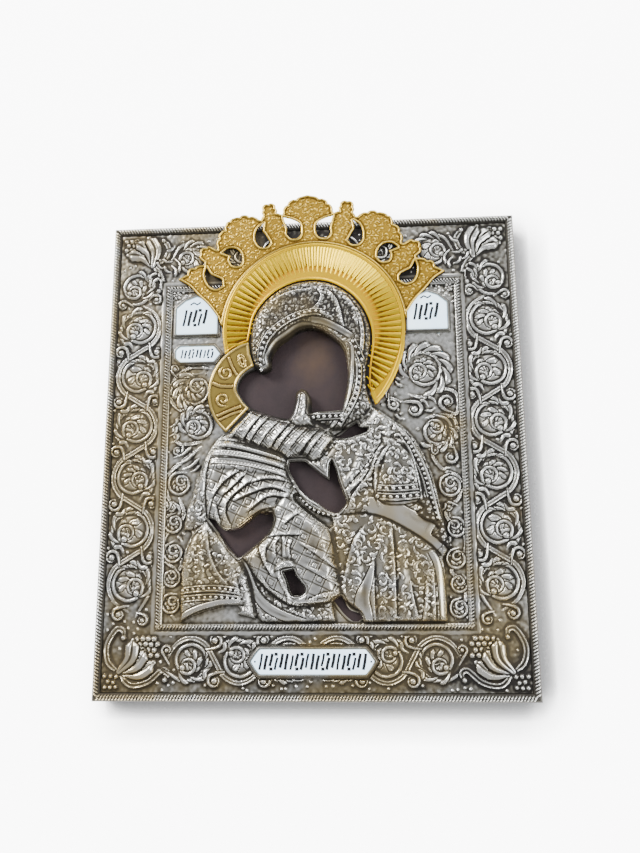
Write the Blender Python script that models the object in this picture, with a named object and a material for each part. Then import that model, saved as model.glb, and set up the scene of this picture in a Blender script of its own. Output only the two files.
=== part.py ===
"""An icon in an embossed metal cover: a wooden board, a silvered-brass cover with a scroll border and
two draped figures, a cable moulding round the edge, gilded crown and halos, and four enamel plaques.

It lies on its back: +Z comes out of the face, +Y points to the top of the icon, and the origin is the
middle of the board's back. Sizes are in millimetres, and MM turns them into Blender's metres.
"""

import math

import bmesh
import bpy
import numpy as np
from mathutils import Vector
from mathutils.geometry import delaunay_2d_cdt

MM = 0.001

# Driving sizes
WIDTH, HEIGHT = 311.0, 356.0
BOARD_THICK, BOARD_BEVEL = 24.0, 1.2
SKIRT, SKIRT_FOOT = 0.9, 3.0
GAP = 0.3
ROPE_WIDE = 6.0
ROPE_TOP, ROPE_FOOT = 29.2, 26.4
COVER_UNDER = BOARD_THICK + GAP
BORDER_GROUND = 26.8
FIELD_GROUND = 25.6
SEAT = 29.2
GILT_UNDER = SEAT + GAP
GILT_TOP = GILT_UNDER + 1.3
GILT_FACE = GILT_TOP - 0.5

# The cover inside the cable moulding, and the inner cable line round the figures
COVER_HALF = np.array([WIDTH / 2 - ROPE_WIDE - GAP, HEIGHT / 2 - ROPE_WIDE - GAP])
FIELD_LOW, FIELD_HIGH = np.array([-110.0, -128.0]), np.array([111.0, 126.5])
CABLE_HALF, CABLE_RISE = 2.2, 1.8

# Halo and crown
HALO_CENTRE, HALO_RADIUS, HALO_RIM = np.array([2.0, 90.0]), 69.0, 3.6
SMALL_CENTRE, SMALL_RADIUS, SMALL_RIM = np.array([-37.5, 42.0]), 40.0, 3.2
CROWN_AXIS, CROWN_LEAN, CROWN_RIM = 1.0, -0.03, 1.8
LEDGE = 1.2


# ---------------------------------------------------------------- scene


def clear_scene():
    for item in list(bpy.data.objects):
        bpy.data.objects.remove(item, do_unlink=True)


def new_collection(name, hidden=False):
    collection = bpy.data.collections.new(name)
    bpy.context.scene.collection.children.link(collection)
    collection.hide_render = hidden
    return collection


def new_material(name, colour, metallic, roughness):
    material = bpy.data.materials.new(name)
    material.use_nodes = True
    shader = material.node_tree.nodes["Principled BSDF"]
    shader.inputs["Base Color"].default_value = (*colour, 1.0)
    shader.inputs["Metallic"].default_value = metallic
    shader.inputs["Roughness"].default_value = roughness
    return material


def finish(name, mesh, collection, material):
    mesh.materials.clear()
    mesh.materials.append(material)
    item = bpy.data.objects.new(name, mesh)
    collection.objects.link(item)
    return item


# ---------------------------------------------------------------- lines in the plane of the face


def smooth(points, per_span=3, closed=False):
    """A Catmull-Rom curve through the points."""
    points = np.array(points, float)
    count = len(points)
    if closed:
        padded = np.vstack([points[-1:], points, points[:2]])
        spans = count
    else:
        first, last = 2 * points[0] - points[1], 2 * points[-1] - points[-2]
        padded = np.vstack([first, points, last])
        spans = count - 1
    steps = np.arange(per_span) / per_span
    curve = []
    for i in range(spans):
        a, b, c, d = padded[i : i + 4]
        for t in steps:
            curve.append(
                0.5 * (2 * b + (c - a) * t + (2 * a - 5 * b + 4 * c - d) * t**2
                       + (3 * b - a - 3 * c + d) * t**3)
            )
    if not closed:
        curve.append(points[-1])
    return np.array(curve)


def arc(centre, radius, start, end, count):
    """Points on a circle from one angle to another, in degrees."""
    angles = np.radians(np.linspace(start, end, count))
    return np.array(centre) + radius * np.column_stack([np.cos(angles), np.sin(angles)])


def coil(centre, outer, inner, start, turns, step=40.0):
    """A scroll that winds in from its outer radius; turns is negative for clockwise."""
    count = max(3, round(abs(turns) * 360 / step))
    along = np.linspace(0, 1, count + 1)
    angles = math.radians(start) + 2 * math.pi * turns * along
    radii = inner + (outer - inner) * (1 - along) ** 0.75
    return np.array(centre) + radii[:, None] * np.column_stack([np.cos(angles), np.sin(angles)])


def normals_of(path, closed):
    if closed:
        ahead, behind = np.roll(path, -1, 0), np.roll(path, 1, 0)
        run = ahead - behind
    else:
        run = np.gradient(path, axis=0)
    run /= np.maximum(np.linalg.norm(run, axis=1, keepdims=True), 1e-9)
    return np.column_stack([-run[:, 1], run[:, 0]])


def inside(points, loop):
    """Which points lie inside a closed loop, by counting crossings."""
    x, y = points[:, 0:1], points[:, 1:2]
    ax, ay = loop[:, 0], loop[:, 1]
    bx, by = np.roll(ax, -1), np.roll(ay, -1)
    rise = np.where(by == ay, 1e-12, by - ay)
    crossed = ((ay > y) != (by > y)) & (x < (bx - ax) * (y - ay) / rise + ax)
    return crossed.sum(axis=1) % 2 == 1


def distance(points, path, closed=False):
    """How far each point is from a line, and how far along the line its nearest place is, 0 to 1."""
    ends = np.roll(path, -1, 0) if closed else path[1:]
    starts = path if closed else path[:-1]
    run = ends - starts
    length = np.maximum(np.linalg.norm(run, axis=1), 1e-9)
    reach = np.concatenate([[0], np.cumsum(length)])
    offset = points[:, None, :] - starts[None]
    share = np.clip((offset * run).sum(2) / length**2, 0, 1)
    gap = np.linalg.norm(offset - share[..., None] * run, axis=2)
    best = gap.argmin(axis=1)
    rows = np.arange(len(points))
    along = (reach[best] + share[rows, best] * length[best]) / reach[-1]
    return gap[rows, best], along


def rounded(share):
    """Height of a rounded edge, 0 at the foot and 1 where it has levelled off."""
    share = np.clip(share, 0, 1)
    return np.sqrt(1 - (1 - share) ** 2)


# ---------------------------------------------------------------- raised lines and cloth


class Rib:
    """A raised line, rounded across and tapered towards its ends."""

    def __init__(self, path, half, rise, taper=(0.35, 0.35)):
        self.path, self.half, self.rise, self.taper = np.array(path, float), half, rise, taper

    def scale(self, along):
        first, last = self.taper
        return np.minimum(first + (1 - first) * along * 3, 1) * np.minimum(
            last + (1 - last) * (1 - along) * 3, 1
        )

    def height(self, points):
        gap, along = distance(points, self.path)
        scale = self.scale(along)
        return self.rise * scale * np.clip(1 - (gap / (self.half * scale)) ** 2, 0, 1)

    def along(self):
        reach = np.cumsum(np.linalg.norm(np.diff(self.path, axis=0), axis=1))
        return np.concatenate([[0], reach / reach[-1]])

    def lines(self):
        """The crest and the two feet, each with its own height above the ground."""
        scale = self.scale(self.along())
        side = normals_of(self.path, False) * (self.half * scale * 1.02)[:, None]
        foot = np.zeros(len(scale))
        return [(self.path, self.rise * scale), (self.path + side, foot), (self.path - side, foot)]


class Boss:
    """A round knob."""

    def __init__(self, centre, half, rise, sides=6):
        self.path, self.half, self.rise = np.array([centre], float), half, rise
        self.sides = sides

    def height(self, points):
        gap = np.linalg.norm(points - self.path[0], axis=1)
        return self.rise * np.sqrt(np.clip(1 - (gap / self.half) ** 2, 0, 1))

    def lines(self):
        """The foot, closed, and the top."""
        foot = arc(self.path[0], self.half, 0, 360, self.sides + 1)
        return [(foot, np.zeros(len(foot))), (self.path, np.array([self.rise]))]


class Cloth:
    """A raised piece of drapery: an outline with a rounded edge, and ribs for its folds."""

    def __init__(self, outline, rise, roll, folds=()):
        self.outline = np.array(outline, float)
        self.rise, self.roll, self.folds = rise, roll, folds

    def height(self, points):
        height = np.full(len(points), -1e3)
        within = inside(points, self.outline)
        if not within.any():
            return height
        spots = points[within]
        edge = rounded(distance(spots, self.outline, True)[0] / self.roll)
        top = self.rise * edge
        for fold in self.folds:
            top += np.sign(fold.rise) * np.abs(fold.height(spots)) * edge
        height[within] = FIELD_GROUND + top
        return height

    def rings(self):
        """Lines inside the outline where the rounded edge bends."""
        turn = 1 if signed_area(self.outline) > 0 else -1
        across = normals_of(self.outline, True) * turn
        for share in (0.3, 1.0):
            ring = self.outline + across * self.roll * share
            clear = distance(ring, self.outline, True)[0] > 0.85 * self.roll * share
            yield ring, clear & inside(ring, self.outline)


def signed_area(loop):
    x, y = loop[:, 0], loop[:, 1]
    return 0.5 * np.sum(x * np.roll(y, -1) - np.roll(x, -1) * y)


# ---------------------------------------------------------------- embossed sheets


class Drawing:
    """The lines that an embossed sheet is folded along, gathered before it is meshed."""

    def __init__(self):
        self.points, self.edges = [], []

    def line(self, path, keep=None, closed=False):
        keep = np.ones(len(path), bool) if keep is None else keep
        count = len(path)
        numbers = {}
        for i in np.flatnonzero(keep):
            numbers[i] = len(self.points)
            self.points.append(tuple(np.round(path[i], 2)))
        for i in numbers:
            following = (i + 1) % count
            if following in numbers and (closed or following > i):
                self.edges.append((numbers[i], numbers[following]))

    def spot(self, point):
        self.points.append(tuple(np.round(point, 2)))


def embossed(name, rim, holes, drawing, height, under):
    """A sheet that is flat below and embossed above: its top is triangulated along the drawing's lines
    and lifted to its height, and walls close it down to the flat underside."""
    coords = [Vector(p) for p in drawing.points]
    made = delaunay_2d_cdt(coords, drawing.edges, [], 0, 0.05)
    flat = np.array([tuple(v) for v in made[0]])
    faces = np.array([tuple(f) for f in made[2]])
    middle = flat[faces].mean(axis=1)
    kept = inside(middle, rim)
    for hole in holes:
        kept &= ~inside(middle, hole)
    faces = faces[kept]
    used = np.unique(faces)
    top = dict(zip(used.tolist(), height(flat[used]).tolist()))
    sheet = bmesh.new()
    verts = {i: sheet.verts.new((flat[i][0] * MM, flat[i][1] * MM, z * MM)) for i, z in top.items()}
    for a, b, c in faces.tolist():
        corners = [verts[a], verts[b], verts[c]]
        sheet.faces.new(corners if signed_area(flat[[a, b, c]]) > 0 else corners[::-1])
    border = [edge for edge in sheet.edges if edge.is_boundary]
    skirt = bmesh.ops.extrude_edge_only(sheet, edges=border)["geom"]
    for item in skirt:
        if isinstance(item, bmesh.types.BMVert):
            item.co.z = under * MM
    feet = [edge for edge in sheet.edges if edge.is_boundary]
    corners = list({vert for edge in feet for vert in edge.verts})
    number = {vert: i for i, vert in enumerate(corners)}
    spots = [Vector((vert.co.x / MM, vert.co.y / MM)) for vert in corners]
    sides = [tuple(number[vert] for vert in edge.verts) for edge in feet]
    made = delaunay_2d_cdt(spots, sides, [], 0, 0.0001)
    spots = np.array([tuple(spot) for spot in made[0]])
    for face in made[2]:
        middle = spots[list(face)].mean(axis=0)[None]
        if inside(middle, rim)[0] and not any(inside(middle, hole)[0] for hole in holes):
            sheet.faces.new([corners[made[3][i][0]] for i in face])
    bmesh.ops.recalc_face_normals(sheet, faces=sheet.faces)
    mesh = bpy.data.meshes.new(name)
    sheet.to_mesh(mesh)
    sheet.free()
    return mesh


# ---------------------------------------------------------------- ornament of the cover


def running_scroll(place, centres, half, side):
    """A stem that waves from side to side of a border, with a coil in each bay and a small scroll on
    either hand where it crosses over. place turns (along, across) into a spot on the face."""
    pitch = centres[1] - centres[0]
    knots = [(centres[0] - pitch / 2, 0)]
    ribs = []
    for number, middle in enumerate(centres):
        lean = side * (-1) ** number
        knots += [(middle, lean * half), (middle + pitch / 2, 0)]
        curl = coil((middle, 0), abs(pitch) / 2 - 1, 4.2, 180, 1.5 * lean, 48)
        ribs.append(Rib([place(u, v) for u, v in curl], 1.9, 2.2))
        ribs.append(Boss(place(middle, 0), 3.4, 2.0))
        leaf = [(middle - 6, -lean * (half - 4)), (middle + 3, -lean * (half + 0.5))]
        ribs.append(Rib([place(u, v) for u, v in leaf], 1.7, 1.7))
        for hand in (-1, 1):
            spot = np.array([middle + pitch / 2, hand * (half - 2.2)])
            ribs += small_scroll(place(*spot), 4.6, 90 * hand, 0.8 * hand)
    ribs.append(Rib([place(u, v) for u, v in smooth(knots, 2)], 1.9, 2.2))
    return ribs


def small_scroll(spot, radius, start, turns):
    """A curl that ends in a ball."""
    half = 0.9 + 0.07 * radius
    curl = coil(spot, radius - half, 0.45 * radius, start, turns, 72)
    return [Rib(curl, half, 1.8, (0.4, 0.8)), Boss(curl[-1], half * 1.25, 2.0, 5)]


def corner_flower(foot, toward, sepals):
    """Three fat petals from one foot, held by two curling sepals."""
    foot = np.array(foot, float)
    ribs = []
    for tip in toward:
        tip = np.array(tip, float)
        root = foot + 0.2 * (tip - foot)
        bow = (root + tip) / 2 + 0.1 * np.array([foot[1] - tip[1], tip[0] - foot[0]])
        ribs.append(Rib(smooth([root, bow, tip], 2), 3.3, 2.2, (0.3, 0.5)))
    for sepal in sepals:
        ribs.append(Rib(smooth(sepal, 2), 1.6, 2.2))
    return ribs


def beads(rows, radius, rise):
    """Short round buds, as in a bunch of berries."""
    return [Boss(spot, radius, rise, 5) for spot in rows]


def border_ribs():
    side_bays = [-98.0 + 38.6 * k for k in range(6)]
    ribs = running_scroll(lambda u, v: (-132 + v, u), side_bays, 15.0, -1)
    ribs += running_scroll(lambda u, v: (132 - v, u), side_bays, 15.0, -1)
    ribs += running_scroll(lambda u, v: (u, -150.5 + v), [-87.0, -53.0], 14.5, 1)
    ribs += running_scroll(lambda u, v: (-u, -150.5 + v), [-87.0, -53.0], 14.5, 1)
    for hand in (-1, 1):
        ribs.append(Rib(coil((hand * 136, 127), 11, 3, -90, -1.4 * hand), 1.8, 2.2))
        ribs.append(Rib(coil((hand * 93, 151), 13, 3, 90 + 90 * hand, 1.4 * hand), 1.9, 2.2))
        ribs += corner_flower(
            (hand * 137, -158),
            [(hand * x, y) for x, y in ((127, -137), (119.5, -142), (113, -150))],
            [
                [(hand * x, y) for x, y in ((136, -157), (145, -150), (144, -139), (137, -129))],
                [(hand * x, y) for x, y in ((136, -157), (128, -166), (116, -163), (104, -159))],
            ],
        )
        ribs += corner_flower(
            (hand * 125, 148),
            [(hand * x, y) for x, y in ((142, 157), (136, 165), (128, 168))],
            [
                [(hand * x, y) for x, y in ((125, 148), (119, 140), (116, 130))],
                [(hand * x, y) for x, y in ((125, 148), (113, 156), (108, 148))],
            ],
        )
        ribs += beads([(hand * (124 - 4.4 * k), -134.5) for k in range(4)], 1.9, 1.8)
        ribs += beads([(hand * (143 - 5 * k), -164.5) for k in range(2)], 1.7, 1.8)
    return ribs


def field_ribs():
    """Scrolls on the ground beside the figures: middle, radius and first angle of each."""
    left = [(-88, 45, 12, 200), (-86, 19, 10, 20), (-99, 0, 4.5, 90), (-98, -27, 8, 60),
            (-103, -55, 5.5, 200), (-101, -77, 6.5, 90), (-103, -93, 5, 0), (-101, -112, 6, 200)]
    right = [(83, 57, 17, 250), (100, 32, 7, 90), (76, 26, 7.5, 60), (93, 9, 9, 200),
             (101, -9, 5.5, 90), (100, -30, 6.5, 60), (103, -61, 5, 200), (103, -83, 5.5, 90),
             (103, -99, 5, 0), (103, -116, 5.5, 200)]
    ribs = []
    for number, (x, y, radius, start) in enumerate(left + right):
        hand = (-1) ** number
        if radius < 9:
            ribs += small_scroll((x, y), radius, start, 0.85 * hand)
            continue
        ribs.append(Rib(coil((x, y), radius - 1.6, 3.6, start, 1.4 * hand, 50), 1.8, 1.9))
        ribs.append(Boss((x, y), 0.2 * radius, 1.8))
    ribs.append(Rib(smooth([(-97, 27), (-102, 14), (-99, 5)], 2), 1.5, 1.6))
    ribs.append(Rib(smooth([(-93, 4), (-90, -6), (-96, -17)], 2), 1.5, 1.6))
    ribs.append(Rib(smooth([(68, 48), (58, 40), (54, 33)], 2), 1.5, 1.6))
    ribs.append(Rib(smooth([(98, 42), (104, 38), (106, 26)], 2), 1.5, 1.6))
    return ribs


# ---------------------------------------------------------------- the draped figures


def hood():
    outline = [(-37, 57.5), (-41, 61), (-44, 70), (-45, 85), (-42, 100), (-35, 111), (-25, 120),
               (-12, 126), (0, 127.5), (12, 126), (24, 120), (34, 111), (41, 99), (44, 88), (44, 75),
               (42, 60), (41.3, 45), (43, 37), (45, 30), (36, 19), (22, 13), (8, 14), (-2, 22), (-20, 50)]
    folds = [
        Rib(smooth([(-35, 60), (-37, 72), (-32, 82), (-22, 91), (-8, 98), (8, 100), (17, 95)], 2), 6, 2.6),
        Rib(smooth([(27, 80), (32, 70), (35, 55), (34, 38), (28, 24), (18, 16)], 2), 4, 1.8),
        Rib([(-37, 96), (-28, 107), (-14, 115), (2, 117)], 3.5, 1.6),
        Rib([(12, 118), (24, 110), (33, 98), (37, 84)], 3.5, 1.6),
        Rib([(14, 108), (23, 99), (27, 88)], 3, 1.5),
        Rib([(0, 20.5), (11, 20.5), (22, 21)], 3.2, 1.5),
    ]
    return Cloth(outline, 10.5, 11.0, folds)


def mantle():
    outline = [(46, 29), (52, 25), (60, 19), (68, 13), (75, 5), (80, -4), (85, -15), (89, -28), (92, -42),
               (94, -55), (97, -74), (91, -79), (84, -71), (70, -61), (52, -51), (38, -49), (22, -52),
               (8, -50), (-4, -42), (-13, -29), (-17, -18), (-12, -9), (4, -8), (16, 4), (28, 12), (38, 19)]
    folds = [
        Rib(smooth([(66, 6), (76, -9), (84, -26), (88, -44), (91, -62)], 2), 3.6, 1.6),
        Rib(smooth([(50, 24), (55, 12), (54, -2), (47, -14), (37, -26), (26, -34)], 2), 4.2, 2.0),
        Rib(smooth([(47, -28), (60, -31), (76, -31)], 2), 3.4, 2.0),
        Rib(smooth([(45, -40), (60, -42), (78, -42)], 2), 3.4, 1.7),
        Rib(smooth([(-15, -20), (-11, -33), (0, -45), (14, -50), (26, -46)], 2), 3.2, 1.6),
        Rib([(36, -4), (32, -18), (24, -28)], 3.4, 1.7),
        Rib([(34, 6), (42, 2), (45, -8)], 3, 1.5),
        Rib([(82, -50), (76, -55), (88, -62)], 2.4, 1.3),
        Boss((58, 12), 5.5, 1.6),
    ]
    return Cloth(outline, 8.6, 8.0, folds)


def skirt():
    outline = [(15, -48), (34, -46), (52, -50), (70, -60), (85, -70), (92, -80), (94, -92), (94, -124.5),
               (75, -124.5), (56, -124.5), (36, -124.5), (32, -117), (22, -110), (16, -107), (18, -90),
               (15, -68)]
    folds = [
        Rib([(28, -62), (30, -84), (28, -106)], 5, 1.7),
        Rib([(44, -62), (43, -92), (45, -121)], 4.5, 1.9),
        Rib([(58, -66), (57, -94), (58, -121)], 4.5, 1.9),
        Rib([(70, -74), (71, -98), (74, -121)], 4, 1.9),
        Rib([(82, -80), (80, -100), (82, -121)], 4, 1.9),
    ]
    return Cloth(outline, 6.2, 6.0, folds)


def side_mantle():
    outline = [(-65, 11), (-72, 4), (-78, -6), (-84, -20), (-88, -35), (-92, -48), (-93, -60), (-83, -60),
               (-74, -52), (-74, -20), (-68, -4)]
    folds = [Rib([(-73, -4), (-79, -20), (-82, -38), (-84, -53)], 4, 1.6)]
    return Cloth(outline, 4.8, 5.0, folds)


def side_drape():
    outline = [(-76, -52), (-85, -60), (-92, -75), (-94, -90), (-94, -124.5), (-85, -120), (-75, -116.5),
               (-62, -113.5), (-50, -113), (-53, -119), (-40, -122.5), (-43, -105), (-46, -92), (-53, -80),
               (-64, -66)]
    folds = [
        Rib([(-76, -60), (-80, -82), (-78, -108)], 4.5, 1.7),
        Rib([(-71, -66), (-64, -84), (-60, -106)], 4.5, 1.7),
        Rib([(-84, -68), (-90, -88), (-89, -114)], 3.5, 1.5),
        Rib([(-91, -102), (-76, -100), (-60, -101), (-47, -104)], 2.6, 1.4),
        Rib([(-90, -111), (-75, -108.5), (-60, -108), (-47, -110)], 2.6, 1.4),
    ]
    return Cloth(outline, 6.0, 6.0, folds)


def under_cloth():
    outline = [(-53, -79), (-46, -92), (-43, -105), (-39, -121), (-35, -124.5), (-6, -124.5), (16, -124.5),
               (14, -110), (-22, -108), (-36, -96), (-46, -82)]
    folds = [Rib(smooth([(-49, -83), (-41, -100), (-30, -114), (-12, -120)], 2), 3, 1.2)]
    return Cloth(outline, 3.8, 4.0, folds)


def torso():
    outline = [(-60, 11), (-68, 6), (-76, -5), (-79, -25), (-78, -46), (-72, -55), (-64, -61), (-52, -60),
               (-40, -51), (-30, -47), (-20, -42), (-13, -36), (-15, -24), (-17, -13), (-22, -6), (-40, 2)]
    folds = [
        Rib([(-68, 1), (-45, -3), (-20, -9)], 3.2, 1.8),
        Rib([(-71, -6), (-45, -10), (-19, -15)], 3.2, 1.8),
        Rib([(-74, -13), (-46, -17), (-18, -21)], 3.2, 1.8),
        Rib(smooth([(-75, -24), (-58, -26), (-38, -27), (-19, -27)], 2), 3.6, 1.8),
        Rib(smooth([(-76, -36), (-60, -38), (-40, -36), (-22, -33)], 2), 3.6, 1.8),
        Rib(smooth([(-73, -48), (-58, -50), (-42, -45), (-27, -40)], 2), 3.6, 1.8),
    ]
    return Cloth(outline, 9.0, 9.0, folds)


def legs():
    outline = [(-18, -28), (-14, -37), (-5, -46), (3, -52), (10, -57), (14, -63), (16, -72), (18, -85),
               (20, -97), (22, -107), (15, -110), (8, -112.5), (-4, -114.5), (-16, -113.5), (-28, -106),
               (-38, -97), (-47, -84), (-51, -79), (-42, -71), (-34, -64), (-28, -53), (-30, -46)]
    folds = [
        Rib(smooth([(-22, -38), (-8, -52), (4, -66), (9, -84), (12, -104)], 2), 4.2, 1.9),
        Rib(smooth([(-26, -48), (-14, -60), (-4, -74), (0, -92), (2, -110)], 2), 4.2, 1.9),
        Rib(smooth([(-28, -64), (-20, -72), (-14, -80)], 2), 3.6, 1.7),
        Rib(smooth([(-38, -72), (-34, -84), (-26, -98)], 2), 3.6, 1.7),
        Rib([(-29, -89), (-20, -80), (-9, -84)], 2.8, 1.8),
    ]
    return Cloth(outline, 10.0, 9.0, folds)


def sleeve():
    outline = [(-62, 7), (-58, 14.5), (-50, 21.5), (-45, 27.5), (-38, 27), (-30, 24), (-22, 20.5),
               (-14, 17.5), (-5, 14), (2, 13), (10, 12), (16, 8), (19, 6), (15, -1), (10, -9), (6, -12),
               (0, -12.5), (-4, -8), (-10, -7.5), (-17, -10), (-21, -7), (-30, -4), (-40, 0), (-50, 4)]
    folds = []
    for number in range(8):
        x = -52 + 8.2 * number
        low, high = 5.5 - 1.6 * number, 21.5 - 1.7 * number
        folds.append(Rib([(x - 3, low), (x + 4, high)], 2.9, 1.7))
    return Cloth(outline, 13.0, 10.5, folds)


def hand_cuff():
    outline = [(-17, 19), (-15, 24), (-12, 33), (-11, 40), (-7, 43.2), (-3, 41), (0, 35), (0, 25), (3, 14),
               (-12, 12)]
    return Cloth(outline, 11.0, 4.5)


def draped_figures():
    return [side_mantle(), mantle(), skirt(), side_drape(), under_cloth(), hood(), torso(), legs(),
            sleeve(), hand_cuff()]


# Windows cut through the cover, where the board shows
WINDOWS = [
    [(-55, 44), (-53, 52), (-48, 57), (-41, 60), (-38, 57), (-34, 57), (-30, 60), (-30, 68), (-25, 77),
     (-17, 83), (-8, 89), (2, 90), (10, 87), (22, 77), (25.5, 70), (27.5, 56), (27, 45), (25, 35), (23, 26),
     (0, 25), (0, 35), (-3, 41), (-7, 43), (-11, 40), (-12, 33), (-14, 25), (-17, 21), (-30, 24), (-45, 30),
     (-50, 35)],
    [(16, 6), (22, 9.5), (28, 14), (34, 17.5), (35, 13.8), (41.5, 13), (41, 10.5), (36, 8.5), (28, 6)],
    [(-16, -11), (-5, -11), (0, -15), (7, -21), (13, -25), (13.5, -14), (15, -11), (18, -18), (20, -27),
     (23, -35), (25, -41), (22, -46), (18, -49), (12, -47), (5, -42), (-3, -37), (-9, -31), (-16.5, -17)],
    [(-76, -51), (-70, -53), (-66, -58), (-60, -60.5), (-52, -59), (-44, -53), (-38, -48), (-34, -49),
     (-29, -48), (-28, -53), (-30, -60), (-34, -65), (-42, -72), (-53, -80), (-60, -72), (-68, -61)],
    [(-20, -90), (-13, -88), (-9, -95), (-5, -102), (-8, -105.5), (-14, -106), (-18, -98)],
    [(15, -110), (21, -107), (26, -116), (33, -119), (35, -122), (32, -124.3), (28, -124), (22, -119)],
]


# ---------------------------------------------------------------- plaques

PLAQUES = {
    "plaque_upper_left": (FIELD_GROUND, [(-104, 89), (-72, 89), (-72, 110), (-79, 116), (-88, 119.5),
                                         (-97, 116), (-104, 110)]),
    "plaque_upper_right": (FIELD_GROUND, [(72.5, 88), (103, 88), (103, 109), (96, 115), (88, 118),
                                          (80, 115), (72.5, 109)]),
    "plaque_small": (FIELD_GROUND, [(-103.5, 70), (-100, 67), (-74, 67), (-69, 73.2), (-74, 79.5),
                                    (-100, 79.5), (-103.5, 76.5)]),
    "plaque_bottom": (BORDER_GROUND, [(-37, -160), (37, -160), (40, -156.5), (43.5, -151), (40, -146),
                                      (37, -142.5), (-37, -142.5), (-40, -146), (-43.5, -151),
                                      (-40, -156.5)]),
}
BEZEL_WIDE, BEZEL_TALL, ENAMEL_TALL = 2.2, 2.9, 2.4
BED_MARGIN, BLANK_MARGIN = 0.8, 0.7


def grown(loop, by):
    """The loop with its edges moved out by a distance."""
    loop = np.array(loop, float)
    turn = 1 if signed_area(loop) > 0 else -1
    run = np.roll(loop, -1, 0) - loop
    out = np.column_stack([run[:, 1], -run[:, 0]]) / np.linalg.norm(run, axis=1, keepdims=True) * turn
    before = np.roll(out, 1, 0)
    return loop + by * (out + before) / (1 + (out * before).sum(1, keepdims=True))


def flat_shape(name, loops, low, high):
    """A flat outline, with any holes in it, filled and extruded between two heights."""
    curve = bpy.data.curves.new(name, "CURVE")
    curve.dimensions = "2D"
    curve.fill_mode = "BOTH"
    curve.extrude = (high - low) / 2 * MM
    for loop in loops:
        spline = curve.splines.new("POLY")
        spline.points.add(len(loop) - 1)
        for point, (x, y) in zip(spline.points, loop):
            point.co = (x * MM, y * MM, 0, 1)
        spline.use_cyclic_u = True
    item = bpy.data.objects.new(name, curve)
    bpy.context.scene.collection.objects.link(item)
    graph = bpy.context.evaluated_depsgraph_get()
    mesh = bpy.data.meshes.new_from_object(item.evaluated_get(graph))
    bpy.data.objects.remove(item, do_unlink=True)
    shape = bmesh.new()
    shape.from_mesh(mesh)
    bmesh.ops.remove_doubles(shape, verts=shape.verts, dist=0.00001)
    bmesh.ops.translate(shape, verts=shape.verts, vec=(0, 0, (high + low) / 2 * MM))
    bmesh.ops.recalc_face_normals(shape, faces=shape.faces)
    shape.to_mesh(mesh)
    shape.free()
    return mesh


def make_plaques(collection, metal, enamel):
    for name, (ground, loop) in PLAQUES.items():
        low = ground + GAP
        bezel = [grown(loop, BEZEL_WIDE), np.array(loop, float)]
        finish(f"{name}_bezel", flat_shape(name, bezel, low, ground + BEZEL_TALL + GAP), collection, metal)
        plate = [grown(loop, -GAP)]
        finish(f"{name}_enamel", flat_shape(name, plate, low, ground + ENAMEL_TALL + GAP), collection, enamel)


# ---------------------------------------------------------------- the cover


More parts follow.
